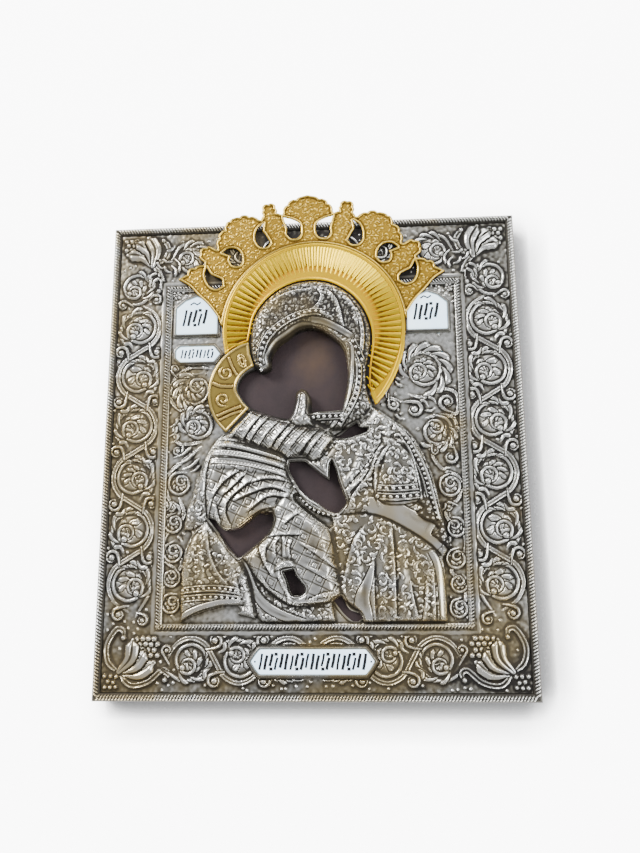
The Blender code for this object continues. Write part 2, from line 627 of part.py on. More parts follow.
class Cover:
    """Heights of the embossed cover over the whole face."""

    def __init__(self):
        self.ribs = border_ribs() + field_ribs()
        self.cloths = draped_figures()
        self.windows = [np.array(loop, float) for loop in WINDOWS]
        self.beds = [grown(loop, BEZEL_WIDE + BED_MARGIN) for ground, loop in PLAQUES.values()]
        self.blanks = [grown(bed, BLANK_MARGIN) for bed in self.beds]

    def ground(self, points):
        in_field = ((points > FIELD_LOW) & (points < FIELD_HIGH)).all(axis=1)
        height = np.where(in_field, FIELD_GROUND, BORDER_GROUND)
        for centre, radius in ((HALO_CENTRE, HALO_RADIUS), (SMALL_CENTRE, SMALL_RADIUS)):
            reach = radius - LEDGE - np.linalg.norm(points - centre, axis=1)
            step = np.clip(reach / LEDGE, 0, 1)
            height = np.maximum(height, height + (SEAT - height) * step)
        return height

    def cable(self, points):
        off = np.maximum(FIELD_LOW - points, points - FIELD_HIGH)
        outside = np.linalg.norm(np.maximum(off, 0), axis=1)
        gap = np.where((off > 0).any(axis=1), outside, -off.max(axis=1))
        return BORDER_GROUND - 0.4 + (CABLE_RISE + 0.4) * np.clip(1 - (gap / CABLE_HALF) ** 2, 0, 1)

    def ornament(self, points):
        height = np.zeros(len(points))
        for rib in self.ribs:
            low, high = rib.path.min(0) - rib.half, rib.path.max(0) + rib.half
            near = ((points > low) & (points < high)).all(axis=1)
            if near.any():
                height[near] = np.maximum(height[near], rib.height(points[near]))
        for blank in self.blanks:
            height[inside(points, blank)] = 0
        return height

    def height(self, points, skip=None):
        """The top of the cover; skip leaves out one of the cloths, to see what it would hide."""
        ground = self.ground(points)
        height = ground + self.ornament(points) * (ground < SEAT - 0.1)
        off = np.maximum(FIELD_LOW - points, points - FIELD_HIGH).max(axis=1)
        height = np.where(np.abs(off) < CABLE_HALF, np.maximum(height, self.cable(points)), height)
        for cloth in self.cloths:
            if cloth is not skip:
                height = np.maximum(height, cloth.height(points))
        return height

    def on_sheet(self, points, margin=0.6):
        kept = (np.abs(points) < COVER_HALF - margin).all(axis=1)
        for window in self.windows:
            kept &= ~inside(points, window) & (distance(points, window, True)[0] > margin)
        return kept

    def rib_lines(self, drawing):
        covers = [halo_outline(), small_halo_outline()] + self.blanks
        for rib in self.ribs:
            for path, rise in rib.lines():
                base = self.ground(path)
                seen = self.height(path) - base - rise
                off = np.maximum(FIELD_LOW - path, path - FIELD_HIGH).max(axis=1)
                clear = self.on_sheet(path) & (np.abs(off) > CABLE_HALF + 0.6) & (base < SEAT - 0.1)
                hidden = np.logical_or.reduce([inside(path, loop) for loop in covers])
                drawing.line(path, clear & ~hidden & (seen < np.where(rise > 0, 0.3, 0.35 * rib.rise)))

    def cloth_lines(self, drawing):
        for cloth in self.cloths:
            others = self.height(cloth.outline, skip=cloth)
            drawing.line(cloth.outline, self.on_sheet(cloth.outline, 0.4)
                         & (others < FIELD_GROUND + 0.85 * cloth.rise), closed=True)
            for ring, clear in cloth.rings():
                on_top = cloth.height(ring) > self.height(ring, skip=cloth)
                drawing.line(ring, clear & on_top & self.on_sheet(ring), closed=True)
            for fold in cloth.folds:
                for path, rise in fold.lines():
                    on_top = cloth.height(path) > self.height(path, skip=cloth)
                    drawing.line(path, inside(path, cloth.outline) & on_top & self.on_sheet(path))

    def drawing(self):
        drawing = Drawing()
        x, y = COVER_HALF
        drawing.line(np.array([(-x, -y), (x, -y), (x, y), (-x, y)]), closed=True)
        for side in (-CABLE_HALF, 0.0, CABLE_HALF):
            (x0, y0), (x1, y1) = FIELD_LOW - side, FIELD_HIGH + side
            drawing.line(np.array([(x0, y0), (x1, y0), (x1, y1), (x0, y1)]), closed=True)
        for loop in self.windows + self.beds:
            drawing.line(loop, closed=True)
        for centre, radius in ((HALO_CENTRE, HALO_RADIUS), (SMALL_CENTRE, SMALL_RADIUS)):
            for step in (LEDGE, 2 * LEDGE):
                ring = arc(centre, radius - step, 0, 350, 36)
                tall = np.maximum.reduce([cloth.height(ring) for cloth in self.cloths])
                low = self.ground(ring) < (SEAT - 0.05 if step == LEDGE else SEAT + LEDGE)
                drawing.line(ring, low & (tall < SEAT - 1) & self.on_sheet(ring), closed=True)
        self.rib_lines(drawing)
        self.cloth_lines(drawing)
        return drawing


def make_cover():
    cover = Cover()
    x, y = COVER_HALF
    rim = np.array([(-x, -y), (x, -y), (x, y), (-x, y)])
    return embossed("cover", rim, cover.windows, cover.drawing(), cover.height, COVER_UNDER)


# ---------------------------------------------------------------- halos and crown


def halo_outline():
    join = arc(SMALL_CENTRE, SMALL_RADIUS + GAP, 133, 104, 4)
    inner = [(-46.6, 85), (-43.4, 100.5), (-36.3, 112.2), (-26, 121.5), (-12.5, 127.7), (0, 129.3),
             (12.6, 127.7), (25, 121.6), (35.6, 112), (42.6, 99.6), (45.8, 88), (45.7, 75), (43.6, 60),
             (42.8, 46), (44.4, 38), (47.6, 30)]
    limb = [(55, 39), (63, 53), (69, 70)]
    rim = arc(HALO_CENTRE, HALO_RADIUS, 0, 192, 25)
    limb.append(arc(HALO_CENTRE, HALO_RADIUS, -7, -7, 1)[0])
    return np.vstack([join, inner, limb, rim])


RAYS = 46
RAY_FOOT, RAY_TIP = 50.0, 63.5


def halo_height(points):
    offset = points - HALO_CENTRE
    radius, angle = np.linalg.norm(offset, axis=1), np.arctan2(offset[:, 1], offset[:, 0])
    reach = np.clip((radius - RAY_FOOT) / (RAY_TIP - RAY_FOOT), 0, 1)
    flute = 0.5 + 0.5 * np.cos(RAYS * angle)
    rays = 0.8 * flute * reach * np.clip((RAY_TIP + 1.2 - radius) / 1.2, 0, 1)
    rim = 0.9 * np.clip(1 - (2 * (radius - HALO_RADIUS) / HALO_RIM + 1) ** 2, 0, 1)
    return GILT_FACE + np.maximum(rays, rim)


def make_halo():
    outline = halo_outline()
    drawing = Drawing()
    drawing.line(outline, closed=True)
    for radius in (HALO_RADIUS - HALO_RIM / 2, HALO_RADIUS - HALO_RIM):
        ring = arc(HALO_CENTRE, radius, -20, 192, 36)
        drawing.line(ring, inside(ring, outline))
    for number in range(RAYS):
        angle = math.radians(360 * number / RAYS)
        way = np.array([math.cos(angle), math.sin(angle)])
        half = angle + math.pi / RAYS
        side = np.array([math.cos(half), math.sin(half)])
        ray = HALO_CENTRE + np.array([way * RAY_FOOT, way * RAY_TIP, side * RAY_TIP])
        clear = inside(ray, outline) & (distance(ray, outline, True)[0] > 1.2)
        drawing.line(ray[:2], clear[:2])
        if clear[2]:
            drawing.spot(ray[2])
    return embossed("halo", outline, [], drawing, halo_height, GILT_UNDER)


def small_halo_bars():
    bars = []
    for angle, half in ((124, 1.4), (146, 1.2), (168, 1.6), (190, 1.2), (206, 1.3), (215, 1.3)):
        ends = [arc(SMALL_CENTRE, radius, angle, angle, 1)[0] for radius in (21, 27.5, 35.5)]
        bars.append(Rib(ends, half, 1.0, (0.8, 0.8)))
    return bars


def small_halo_outline():
    inner = [(-46.3, 29.6), (-51.2, 34.6), (-56, 44), (-53.9, 52.8), (-48.7, 58.2), (-42.8, 61.9),
             (-45.7, 70.5)]
    return np.vstack([arc(SMALL_CENTRE, SMALL_RADIUS, 104, 230, 19), inner])


def make_small_halo():
    outline = small_halo_outline()
    bars = small_halo_bars()

    def height(points):
        radius = np.linalg.norm(points - SMALL_CENTRE, axis=1)
        rim = 0.9 * np.clip(1 - (2 * (radius - SMALL_RADIUS) / SMALL_RIM + 1) ** 2, 0, 1)
        raised = np.maximum.reduce([rim] + [bar.height(points) for bar in bars])
        return GILT_FACE + raised

    drawing = Drawing()
    drawing.line(outline, closed=True)
    for radius in (SMALL_RADIUS - SMALL_RIM / 2, SMALL_RADIUS - SMALL_RIM):
        ring = arc(SMALL_CENTRE, radius, 106, 228, 18)
        drawing.line(ring, inside(ring, outline))
    for bar in bars:
        for path, rise in bar.lines():
            drawing.line(path, inside(path, outline) & (distance(path, outline, True)[0] > 1))
    return embossed("small_halo", outline, [], drawing, height, GILT_UNDER)


def leaned(half, hand):
    """One half of the crown: across is measured from its axis, which leans a little."""
    half = np.array(half, float)
    axis = CROWN_AXIS + CROWN_LEAN * (half[:, 1] - HALO_CENTRE[1])
    return np.column_stack([axis + hand * half[:, 0], half[:, 1]])


def crown_half():
    """Outline of one half from the halo up to the middle, as (across, up)."""
    lower = [(72, 101.5), (79, 111.4), (87, 119.6), (94, 127.5), (103, 133.2), (97.5, 136.3),
             (94, 141.2), (89, 143.4), (82.5, 144.8)]
    side_knob = arc((79.4, 153), 6.9, -52, 130, 7)
    shoulder = [(72.3, 157.8), (72.2, 163), (70.6, 169), (66.5, 174), (63.5, 180.5), (57.5, 183.2),
                (51, 185.2), (44, 184), (38, 181.2)]
    top_knob = arc((30.3, 188.3), 6.4, -42, 205, 8)
    middle = [(20.2, 185.4), (18.6, 190.4), (14.5, 195.2), (8, 198.2)]
    return np.vstack([lower, side_knob, shoulder, top_knob, middle])


# Pierced openings of one half of the crown, each a drop with a curled tail
CROWN_DROPS = [
    [(72.5, 124.3), (77.2, 126), (80.6, 131), (81.6, 137), (80.3, 142.5), (77, 136.5), (72.8, 134.2),
     (68.4, 131.6), (67.8, 127)],
    [(52.2, 146.3), (55, 142.8), (60, 143.2), (62.2, 147.5), (61, 151.2), (68, 153.8), (63.5, 157.2),
     (57, 156.8), (53, 152.5)],
    [(30, 161), (33, 157.6), (38, 157.8), (41.3, 162), (41.6, 168), (39.4, 174), (34.8, 177.4), (35.6, 171),
     (33.6, 167.6)],
    [(6, 168), (8.4, 164.3), (13.4, 163.8), (16.8, 167.5), (16.6, 172), (19.4, 182), (12.2, 179.8),
     (6.6, 176)],
]


def make_crown():
    half = crown_half()
    right, left = leaned(half, 1), leaned(half, -1)[::-1]
    tips = [arc(HALO_CENTRE, HALO_RADIUS + 1.4, angle, angle, 1) for angle in (3, 177)]
    foot = arc(HALO_CENTRE, HALO_RADIUS + GAP, 176, 8, 22)
    outline = np.vstack([tips[0], right, leaned([(0, 200.2)], 1), left, tips[1], foot])
    drops = [leaned(drop, hand) for drop in CROWN_DROPS for hand in (1, -1)]

    def height(points):
        edge = distance(points, outline, True)[0]
        for drop in drops:
            edge = np.minimum(edge, distance(points, drop, True)[0])
        return GILT_TOP - 0.6 * np.clip(edge / CROWN_RIM, 0, 1) + 0.7 * np.clip((edge - CROWN_RIM) / 4, 0, 1)

    drawing = Drawing()
    drawing.line(outline, closed=True)
    inset = grown(outline, -CROWN_RIM)
    clear = inside(inset, outline) & (distance(inset, outline, True)[0] > 1.5)
    for drop in drops:
        drawing.line(drop, closed=True)
        collar = grown(drop, CROWN_RIM)
        gap = distance(collar, drop, True)[0]
        others = np.minimum.reduce([distance(collar, other, True)[0] for other in drops if other is not drop])
        drawing.line(collar, inside(collar, outline) & (distance(collar, outline, True)[0] > 2.4)
                     & (gap > 1.4) & (others > 2.4), closed=True)
        clear &= distance(inset, drop, True)[0] > 2.4
    drawing.line(inset, clear, closed=True)
    return embossed("crown", outline, drops, drawing, height, GILT_UNDER)


# ---------------------------------------------------------------- board and edge


def make_board():
    bpy.ops.mesh.primitive_cube_add(size=1, location=(0, 0, 0))
    cube = bpy.context.object
    mesh = cube.data
    bpy.data.objects.remove(cube, do_unlink=True)
    side = SKIRT + GAP
    size = (WIDTH - 2 * side, HEIGHT - 2 * side, BOARD_THICK)
    shape = bmesh.new()
    shape.from_mesh(mesh)
    bmesh.ops.scale(shape, verts=shape.verts, vec=[length * MM for length in size])
    bmesh.ops.translate(shape, verts=shape.verts, vec=(0, 0, BOARD_THICK / 2 * MM))
    bmesh.ops.bevel(shape, geom=shape.edges, offset=BOARD_BEVEL * MM, segments=1, profile=0.5, affect="EDGES")
    shape.to_mesh(mesh)
    shape.free()
    return mesh


def make_edge_moulding():
    """A cable bar along the edge with a skirt down the board's side, mitred at the corners: each step of
    its section is (distance in from the outer face, height)."""
    crest = [(ROPE_WIDE / 2 * (1 - math.cos(t)), ROPE_FOOT + (ROPE_TOP - ROPE_FOOT) * math.sin(t))
             for t in np.linspace(0, math.pi, 7)]
    section = [(0.0, SKIRT_FOOT)] + crest
    section += [(ROPE_WIDE, COVER_UNDER), (SKIRT, COVER_UNDER), (SKIRT, SKIRT_FOOT)]
    shape = bmesh.new()
    corners = []
    for sx, sy in ((1, 1), (-1, 1), (-1, -1), (1, -1)):
        corners.append([
            shape.verts.new((sx * (WIDTH / 2 - inset) * MM, sy * (HEIGHT / 2 - inset) * MM, z * MM))
            for inset, z in section
        ])
    for a, b in zip(corners, corners[1:] + corners[:1]):
        for i in range(len(section)):
            j = (i + 1) % len(section)
            shape.faces.new([a[i], b[i], b[j], a[j]])
    bmesh.ops.recalc_face_normals(shape, faces=shape.faces)
    mesh = bpy.data.meshes.new("edge_moulding")
    shape.to_mesh(mesh)
    shape.free()
    return mesh


# ---------------------------------------------------------------- the whole icon


def main():
    clear_scene()
    icon = new_collection("brass_icon")
    wood = new_material("old wood", (0.10, 0.06, 0.05), 0.0, 0.75)
    silvered = new_material("silvered brass", (0.55, 0.52, 0.44), 1.0, 0.38)
    gilt = new_material("gilded brass", (0.80, 0.55, 0.16), 1.0, 0.28)
    enamel = new_material("white enamel", (0.80, 0.86, 0.90), 0.0, 0.2)
    finish("board", make_board(), icon, wood)
    finish("edge_moulding", make_edge_moulding(), icon, silvered)
    finish("cover", make_cover(), icon, silvered)
    finish("halo", make_halo(), icon, gilt)
    finish("small_halo", make_small_halo(), icon, gilt)
    finish("crown", make_crown(), icon, gilt)
    make_plaques(icon, silvered, enamel)
    for item in icon.objects:
        item.data.shade_smooth()
        item.data.set_sharp_from_angle(angle=math.radians(40))
        print(item.name, sum(len(face.vertices) - 2 for face in item.data.polygons))


main()
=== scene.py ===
import math

import bmesh
import bpy
import numpy as np
from mathutils import Matrix, Vector
from mathutils.geometry import delaunay_2d_cdt


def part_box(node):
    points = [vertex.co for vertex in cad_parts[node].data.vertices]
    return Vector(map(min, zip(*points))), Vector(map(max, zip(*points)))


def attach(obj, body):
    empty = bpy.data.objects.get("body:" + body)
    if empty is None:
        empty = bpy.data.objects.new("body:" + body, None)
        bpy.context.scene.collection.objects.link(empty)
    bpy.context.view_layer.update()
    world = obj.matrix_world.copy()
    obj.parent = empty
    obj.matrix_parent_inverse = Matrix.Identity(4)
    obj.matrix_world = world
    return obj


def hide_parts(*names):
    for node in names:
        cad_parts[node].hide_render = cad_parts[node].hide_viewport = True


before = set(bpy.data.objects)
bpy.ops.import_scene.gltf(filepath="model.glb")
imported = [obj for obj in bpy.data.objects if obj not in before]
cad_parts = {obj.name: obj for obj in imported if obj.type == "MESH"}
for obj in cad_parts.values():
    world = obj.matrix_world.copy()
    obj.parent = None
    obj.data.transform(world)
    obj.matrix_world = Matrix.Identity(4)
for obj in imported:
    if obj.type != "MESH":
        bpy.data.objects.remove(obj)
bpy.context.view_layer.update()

mm = 0.001
body = "root"


def boxOf(node):
    # lowest and highest corner of a CAD node, in millimetres
    low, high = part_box(node)
    return np.array(low) / mm, np.array(high) / mm


coverLow, coverHigh = boxOf("cover")
edgeLow, edgeHigh = boxOf("edge_moulding")
haloLow, haloHigh = boxOf("halo")
smallLow, smallHigh = boxOf("small_halo")
crownLow, crownHigh = boxOf("crown")

# levels in millimetres above the back of the board
borderGround = coverLow[2] + 2.5
fieldGround = coverLow[2] + 1.3
seat = haloLow[2] - 0.3
fieldLow, fieldHigh = np.array([-110.0, -128.0]), np.array([111.0, 126.5])
haloCentre, haloRadius = np.array([2.0, 90.0]), 69.0
smallCentre, smallRadius = np.array([-37.5, 42.0]), 40.0


# camera, floor and lights

def aimed(item, direction, up):
    # turns a camera or lamp so that it looks along direction
    back = -Vector(direction).normalized()
    right = Vector(up).cross(back).normalized()
    turn = Matrix((right, back.cross(right), back)).transposed()
    item.matrix_world = Matrix.Translation(item.location) @ turn.to_4x4()


cameraSettings = {
    "place": (0.04135, -0.09594, 0.5687),
    "direction": (-0.06335, 0.20065, -0.97761),
    "up": (0.01994, 0.97964, 0.19978),
    "lens": 31.69,
    "sensor": 36.0,
    "nearest": 0.01,
}


def linked(name, data):
    # an object of the scene that holds the data
    item = bpy.data.objects.new(name, data)
    bpy.context.scene.collection.objects.link(item)
    return item


def makeCamera(s):
    data = bpy.data.cameras.new("camera")
    data.sensor_fit = "VERTICAL"
    data.sensor_height = s["sensor"]
    data.lens = s["lens"]
    data.clip_start = s["nearest"]
    camera = linked("camera", data)
    camera.location = s["place"]
    aimed(camera, s["direction"], s["up"])
    bpy.context.scene.camera = camera


lightSettings = {
    # lamp: place, size, power, colour
    "key": ((-1.05, 0.85, 0.95), 0.5, 25.0, (1.0, 0.985, 0.96)),
    "fill": ((0.95, -0.1, 0.95), 0.7, 9.0, (0.94, 0.97, 1.0)),
    "top": ((0.25, 1.1, 0.75), 0.6, 7.0, (1.0, 1.0, 1.0)),
}
worldSettings = {"colour": (0.96, 0.97, 1.0), "strength": 0.5}


def makeLights(lamps, s):
    for name, (place, size, power, colour) in lamps.items():
        data = bpy.data.lights.new(name, "AREA")
        data.size = size
        data.energy = power
        data.color = colour
        lamp = linked(name, data)
        lamp.location = place
        aimed(lamp, -Vector(place), (0, 0, 1))
    world = bpy.data.worlds.new("studio")
    world.use_nodes = True
    backdrop = world.node_tree.nodes["Background"]
    setInputs(world.node_tree, backdrop, {"Color": s["colour"], "Strength": s["strength"]})
    bpy.context.scene.world = world


floorSettings = {
    "reach": 3.0,
    "grey": (0.5, 0.5, 0.5),
    "glow": 9.0,
    "toward": (-0.62, 0.42, 0.66),  # the side the soft light comes from
    "shadows": [(0.035, 2.6), (0.018, 6.0)],  # reach of a painted soft shadow, and how steeply it darkens
}


def paperWhite(s):
    # bright paper with a painted shadow: its glow fades where the piece stands between it and the soft light
    material, tree, shader = newMaterial("paperWhite")
    toward = addNode(tree, "ShaderNodeCombineXYZ", **dict(zip("XYZ", Vector(s["toward"]).normalized())))
    glow = s["glow"]
    for reach, steepness in s["shadows"]:
        shadow = addNode(tree, "ShaderNodeAmbientOcclusion", samples=8, Distance=reach,
                         Normal=toward.outputs["Vector"])
        glow = maths(tree, "MULTIPLY", maths(tree, "POWER", shadow.outputs["AO"], steepness), glow)
    setInputs(tree, shader, {"Base Color": s["grey"], "Roughness": 0.9, "Emission Color": (1, 1, 1),
                             "Emission Strength": glow})
    return material


def makeFloor(s):
    mesh = bpy.data.meshes.new("floor")
    corners = [(x * s["reach"], y * s["reach"], 0) for x, y in ((-1, -1), (1, -1), (1, 1), (-1, 1))]
    mesh.from_pydata(corners, [], [(0, 1, 2, 3)])
    floor = linked("floor", mesh)
    mesh.materials.append(paperWhite(s))


# materials

def newMaterial(name):
    material = bpy.data.materials.new(name)
    material.use_nodes = True
    tree = material.node_tree
    return material, tree, tree.nodes["Principled BSDF"]


def setInputs(tree, node, values):
    # gives each input its value, or links it when the value is another node's socket
    for key, value in values.items():
        socket = node.inputs[key]
        if isinstance(value, bpy.types.NodeSocket):
            tree.links.new(value, socket)
        else:
            socket.default_value = (*value, 1) if socket.type == "RGBA" else value


def addNode(tree, kind, **values):
    # a node; keys that name its sockets are set or linked, and the others are its properties
    node = tree.nodes.new(kind)
    for key, value in values.items():
        if key in node.inputs:
            setInputs(tree, node, {key: value})
        else:
            setattr(node, key, value)
    return node


def ramp(tree, factor, stops):
    # a scale of greys or colours
    node = addNode(tree, "ShaderNodeValToRGB", Fac=factor)
    elements = node.color_ramp.elements
    while len(elements) < len(stops):
        elements.new(0.5)
    for element, (place, colour) in zip(elements, stops):
        element.position = place
        element.color = (*colour, 1) if isinstance(colour, tuple) else (colour, colour, colour, 1)
    return node.outputs["Color"]


def noise(tree, scale, detail=3.0, roughness=0.5, vector=None):
    place = vector or addNode(tree, "ShaderNodeTexCoord").outputs["Object"]
    node = addNode(tree, "ShaderNodeTexNoise", Vector=place, Scale=scale, Detail=detail, Roughness=roughness)
    return node.outputs["Fac"]


def mixColour(tree, factor, first, second, blend="MIX"):
    node = addNode(tree, "ShaderNodeMix", data_type="RGBA", blend_type=blend)
    number = {socket.identifier: i for i, socket in enumerate(node.inputs)}
    setInputs(tree, node, {number["Factor_Float"]: factor, number["A_Color"]: first,
                           number["B_Color"]: second})
    return next(socket for socket in node.outputs if socket.identifier == "Result_Color")


def maths(tree, operation, value, *others):
    # the operation carried out with each of the others in turn
    for other in others:
        node = addNode(tree, "ShaderNodeMath", operation=operation)
        setInputs(tree, node, {0: value, 1: other})
        value = node.outputs["Value"]
    return value


def centred(tree, clouds, depth):
    # clouds that reach as far below zero as above it
    return maths(tree, "MULTIPLY", maths(tree, "SUBTRACT", clouds, 0.5), depth)


def bumped(tree, shader, height, strength, depth):
    bump = addNode(tree, "ShaderNodeBump", Height=height, Strength=strength, Distance=depth)
    setInputs(tree, shader, {"Normal": bump.outputs["Normal"]})


def patina(tree, shader, s):
    # colour and roughness from bright crests to dark hollows, stirred by fine specks and broad patches
    hollow = s["evenly"]
    if hollow is None:
        hollow = addNode(tree, "ShaderNodeAttribute", attribute_name="hollow").outputs["Fac"]
    specks = noise(tree, s["speckScale"], 4.0, 0.6)
    patches = noise(tree, s["patchScale"], 3.0, s["patchRoughness"])
    stirred = maths(tree, "ADD", hollow, centred(tree, specks, s["speckDepth"]),
                    centred(tree, patches, s["patchDepth"]))
    tone = ramp(tree, stirred, list(zip(s["stops"], (s["bright"], s["plain"], s["dull"], s["dark"]))))
    rough = ramp(tree, stirred, list(zip(s["roughStops"], s["roughness"])))
    setInputs(tree, shader, {"Roughness": rough})
    return stirred, tone, specks


silverSettings = {
    "bright": (0.97, 0.97, 0.93),
    "plain": (0.385, 0.375, 0.34),
    "dull": (0.125, 0.117, 0.097),
    "dark": (0.02, 0.017, 0.014),
    "stops": (0.16, 0.44, 0.64, 0.84),  # where those four stand between crest and hollow
    "roughness": (0.24, 0.36, 0.7),
    "roughStops": (0.2, 0.5, 0.85),
    "metallic": [(0.5, 1.0), (0.9, 0.35)],
    "evenly": None,  # one patina all over, or None where it follows the relief
    "speckScale": 260.0,
    "speckDepth": 0.22,
    "patchScale": 17.0,
    "patchDepth": 0.24,
    "patchRoughness": 0.55,
    "brass": (0.80, 0.62, 0.30),
    "brassShare": 0.75,
    "brassClouds": (17.0, 2.5),  # their scale and how strongly they count
    "brassLean": (-1.9, -0.55, 0.38),  # by x, by y, and everywhere; the lean to the left and bottom is part worn silvering, part painted warm light
    "brassCorner": (0.11, -0.12, 0.03),  # a spot worn down to the brass
    "brassCornerFade": [(0.015, 0.36), (0.072, 0.0)],
    "brassStops": [(0.40, 0.0), (0.74, 1.0)],
    "scratchScale": 900.0,
    "scratchStrength": 0.25,
    "scratchDepth": 0.0002,
}


def silveredBrass(name, s):
    # worn silvering over brass; the hollow attribute puts the dark patina where the sheet is sunk
    material, tree, shader = newMaterial(name)
    stirred, tone, specks = patina(tree, shader, s)
    place = addNode(tree, "ShaderNodeTexCoord").outputs["Object"]
    split = addNode(tree, "ShaderNodeSeparateXYZ", Vector=place)
    scale, strength = s["brassClouds"]
    byX, byY, everywhere = s["brassLean"]
    corner = addNode(tree, "ShaderNodeVectorMath", operation="DISTANCE")
    setInputs(tree, corner, {0: place, 1: s["brassCorner"]})
    # more brass to the left and bottom: part worn silvering, part painted warm light
    leaning = maths(tree, "ADD", maths(tree, "MULTIPLY", split.outputs["X"], byX),
                    maths(tree, "MULTIPLY", split.outputs["Y"], byY),
                    ramp(tree, corner.outputs["Value"], s["brassCornerFade"]))
    wearAndWarmLight = maths(tree, "ADD", centred(tree, noise(tree, scale, 3.0, 0.6), strength), leaning, everywhere)
    brassy = maths(tree, "MULTIPLY", ramp(tree, wearAndWarmLight, s["brassStops"]), s["brassShare"])
    tinted = mixColour(tree, brassy, tone, mixColour(tree, 1.0, tone, s["brass"], "MULTIPLY"))
    lifted = mixColour(tree, brassy, tinted, mixColour(tree, 0.45, tinted, s["brass"], "SCREEN"))
    setInputs(tree, shader, {"Base Color": mixColour(tree, 0.25, tinted, lifted),
                             "Metallic": ramp(tree, stirred, s["metallic"])})
    bumped(tree, shader, noise(tree, s["scratchScale"], 3.0, 0.6), s["scratchStrength"], s["scratchDepth"])
    return material


goldSettings = {
    "bright": (1.0, 0.70, 0.02),
    "plain": (1.0, 0.62, 0.01),
    "dull": (0.70, 0.34, 0.01),
    "dark": (0.09, 0.042, 0.008),
    "stops": (0.15, 0.42, 0.66, 0.88),
    "roughness": (0.36, 0.42, 0.6),
    "roughStops": (0.2, 0.5, 0.85),
    "evenly": None,
    "speckScale": 420.0,
    "speckDepth": 0.2,
    "patchScale": 24.0,
    "patchDepth": 0.25,
    "patchRoughness": 0.5,
    "bumpStrength": 0.12,
    "bumpDepth": 0.0003,
}


def gilding(name, s):
    material, tree, shader = newMaterial(name)
    stirred, tone, specks = patina(tree, shader, s)
    setInputs(tree, shader, {"Base Color": tone, "Metallic": 1.0})
    bumped(tree, shader, specks, s["bumpStrength"], s["bumpDepth"])
    return material


enamelSettings = {
    "tones": [(0.3, (0.60, 0.80, 0.98)), (0.7, (0.74, 0.90, 1.0))],
    "roughness": [(0.3, 0.22), (0.7, 0.1)],
    "cloudScale": 60.0,
    # the enamel glows: painted light that makes it brighter than the lamps do
    "glow": 2.6,
    "glaze": (0.6, 0.06),  # weight and roughness of the clear coat
    "pitScale": 220.0,
    "pitDepth": 0.0003,
}


def whiteEnamel(s):
    material, tree, shader = newMaterial("whiteEnamel")
    clouds = noise(tree, s["cloudScale"], 4.0, 0.6)
    tone = ramp(tree, clouds, s["tones"])
    weight, gloss = s["glaze"]
    # painted light: the enamel glows in its own tones
    setInputs(tree, shader, {"Base Color": tone, "Emission Color": tone, "Emission Strength": s["glow"],
                             "Roughness": ramp(tree, clouds, s["roughness"]), "Coat Weight": weight,
                             "Coat Roughness": gloss})
    bumped(tree, shader, noise(tree, s["pitScale"], 2.0), 0.1, s["pitDepth"])
    return material


inkSettings = {
    "tones": [(0.3, (0.006, 0.008, 0.009)), (0.8, (0.02, 0.024, 0.027))],
    "scale": 300.0,
    "roughness": 0.3,
}


def strokeEnamel(s):
    material, tree, shader = newMaterial("strokeEnamel")
    tone = ramp(tree, noise(tree, s["scale"], 3.0), s["tones"])
    setInputs(tree, shader, {"Base Color": tone, "Roughness": s["roughness"]})
    return material


boardSettings = {
    "tones": [(0.32, (0.029, 0.016, 0.019)), (0.52, (0.043, 0.025, 0.028)), (0.70, (0.054, 0.031, 0.030))],
    "cloudScale": 26.0,
    "grainStretch": (14.0, 5.0, 14.0),
    "grainScale": 7.0,
    "grainShare": 0.35,
    "grainDepth": 0.0005,
    "ochre": (0.13, 0.075, 0.036),
    "rubbedAt": (0.001, 0.063, 0.024),
    "rubbedSize": (0.02, 0.026, 0.012),
    "rubbedFade": [(0.52, 0.75), (0.92, 0.0)],
    "roughness": 0.62,
}


def oldBoard(s):
    # bare front of an old gessoed panel: brown-violet, rubbed ochre in the middle, with faint grain
    material, tree, shader = newMaterial("oldBoard")
    place = addNode(tree, "ShaderNodeTexCoord").outputs["Object"]
    stretched = addNode(tree, "ShaderNodeMapping", Vector=place, Scale=s["grainStretch"])
    grain = noise(tree, s["grainScale"], 6.0, 0.6, stretched.outputs["Vector"])
    clouds = noise(tree, s["cloudScale"], 6.0, 0.62)
    shifted = addNode(tree, "ShaderNodeMapping", Vector=place,
                      Location=tuple(-at / size for at, size in zip(s["rubbedAt"], s["rubbedSize"])),
                      Scale=tuple(1 / size for size in s["rubbedSize"]))
    away = addNode(tree, "ShaderNodeVectorMath", operation="LENGTH")
    setInputs(tree, away, {0: shifted.outputs["Vector"]})
    rubbed = maths(tree, "ADD", maths(tree, "MULTIPLY", away.outputs["Value"], 0.4), clouds)
    tone = mixColour(tree, ramp(tree, rubbed, s["rubbedFade"]), ramp(tree, clouds, s["tones"]), s["ochre"])
    tone = mixColour(tree, s["grainShare"], tone, ramp(tree, grain, [(0.3, 0.5), (0.7, 1.0)]), "MULTIPLY")
    setInputs(tree, shader, {"Base Color": tone, "Roughness": s["roughness"]})
    bumped(tree, shader, grain, 0.25, s["grainDepth"])
    return material


# lines in the plane of the face, in millimetres

def catmullRom(a, b, c, d, t):
    # the curve from b to c, with a before them and d after them
    bent = (2 * a - 5 * b + 4 * c - d) * t ** 2 + (3 * b - a - 3 * c + d) * t ** 3
    return 0.5 * (2 * b + (c - a) * t + bent)


def smooth(points, perSpan=5):
    # a curve through the points
    points = np.array(points, float)
    padded = np.vstack([2 * points[0] - points[1], points, 2 * points[-1] - points[-2]])
    steps = np.arange(perSpan)[:, None] / perSpan
    curve = [catmullRom(*padded[i:i + 4], steps) for i in range(len(padded) - 3)]
    return np.vstack(curve + [points[-1:]])


def arc(centre, radius, start, end, count):
    # points on a circle, between two angles in degrees
    angles = np.radians(np.linspace(start, end, count))
    return np.array(centre) + radius * np.column_stack([np.cos(angles), np.sin(angles)])


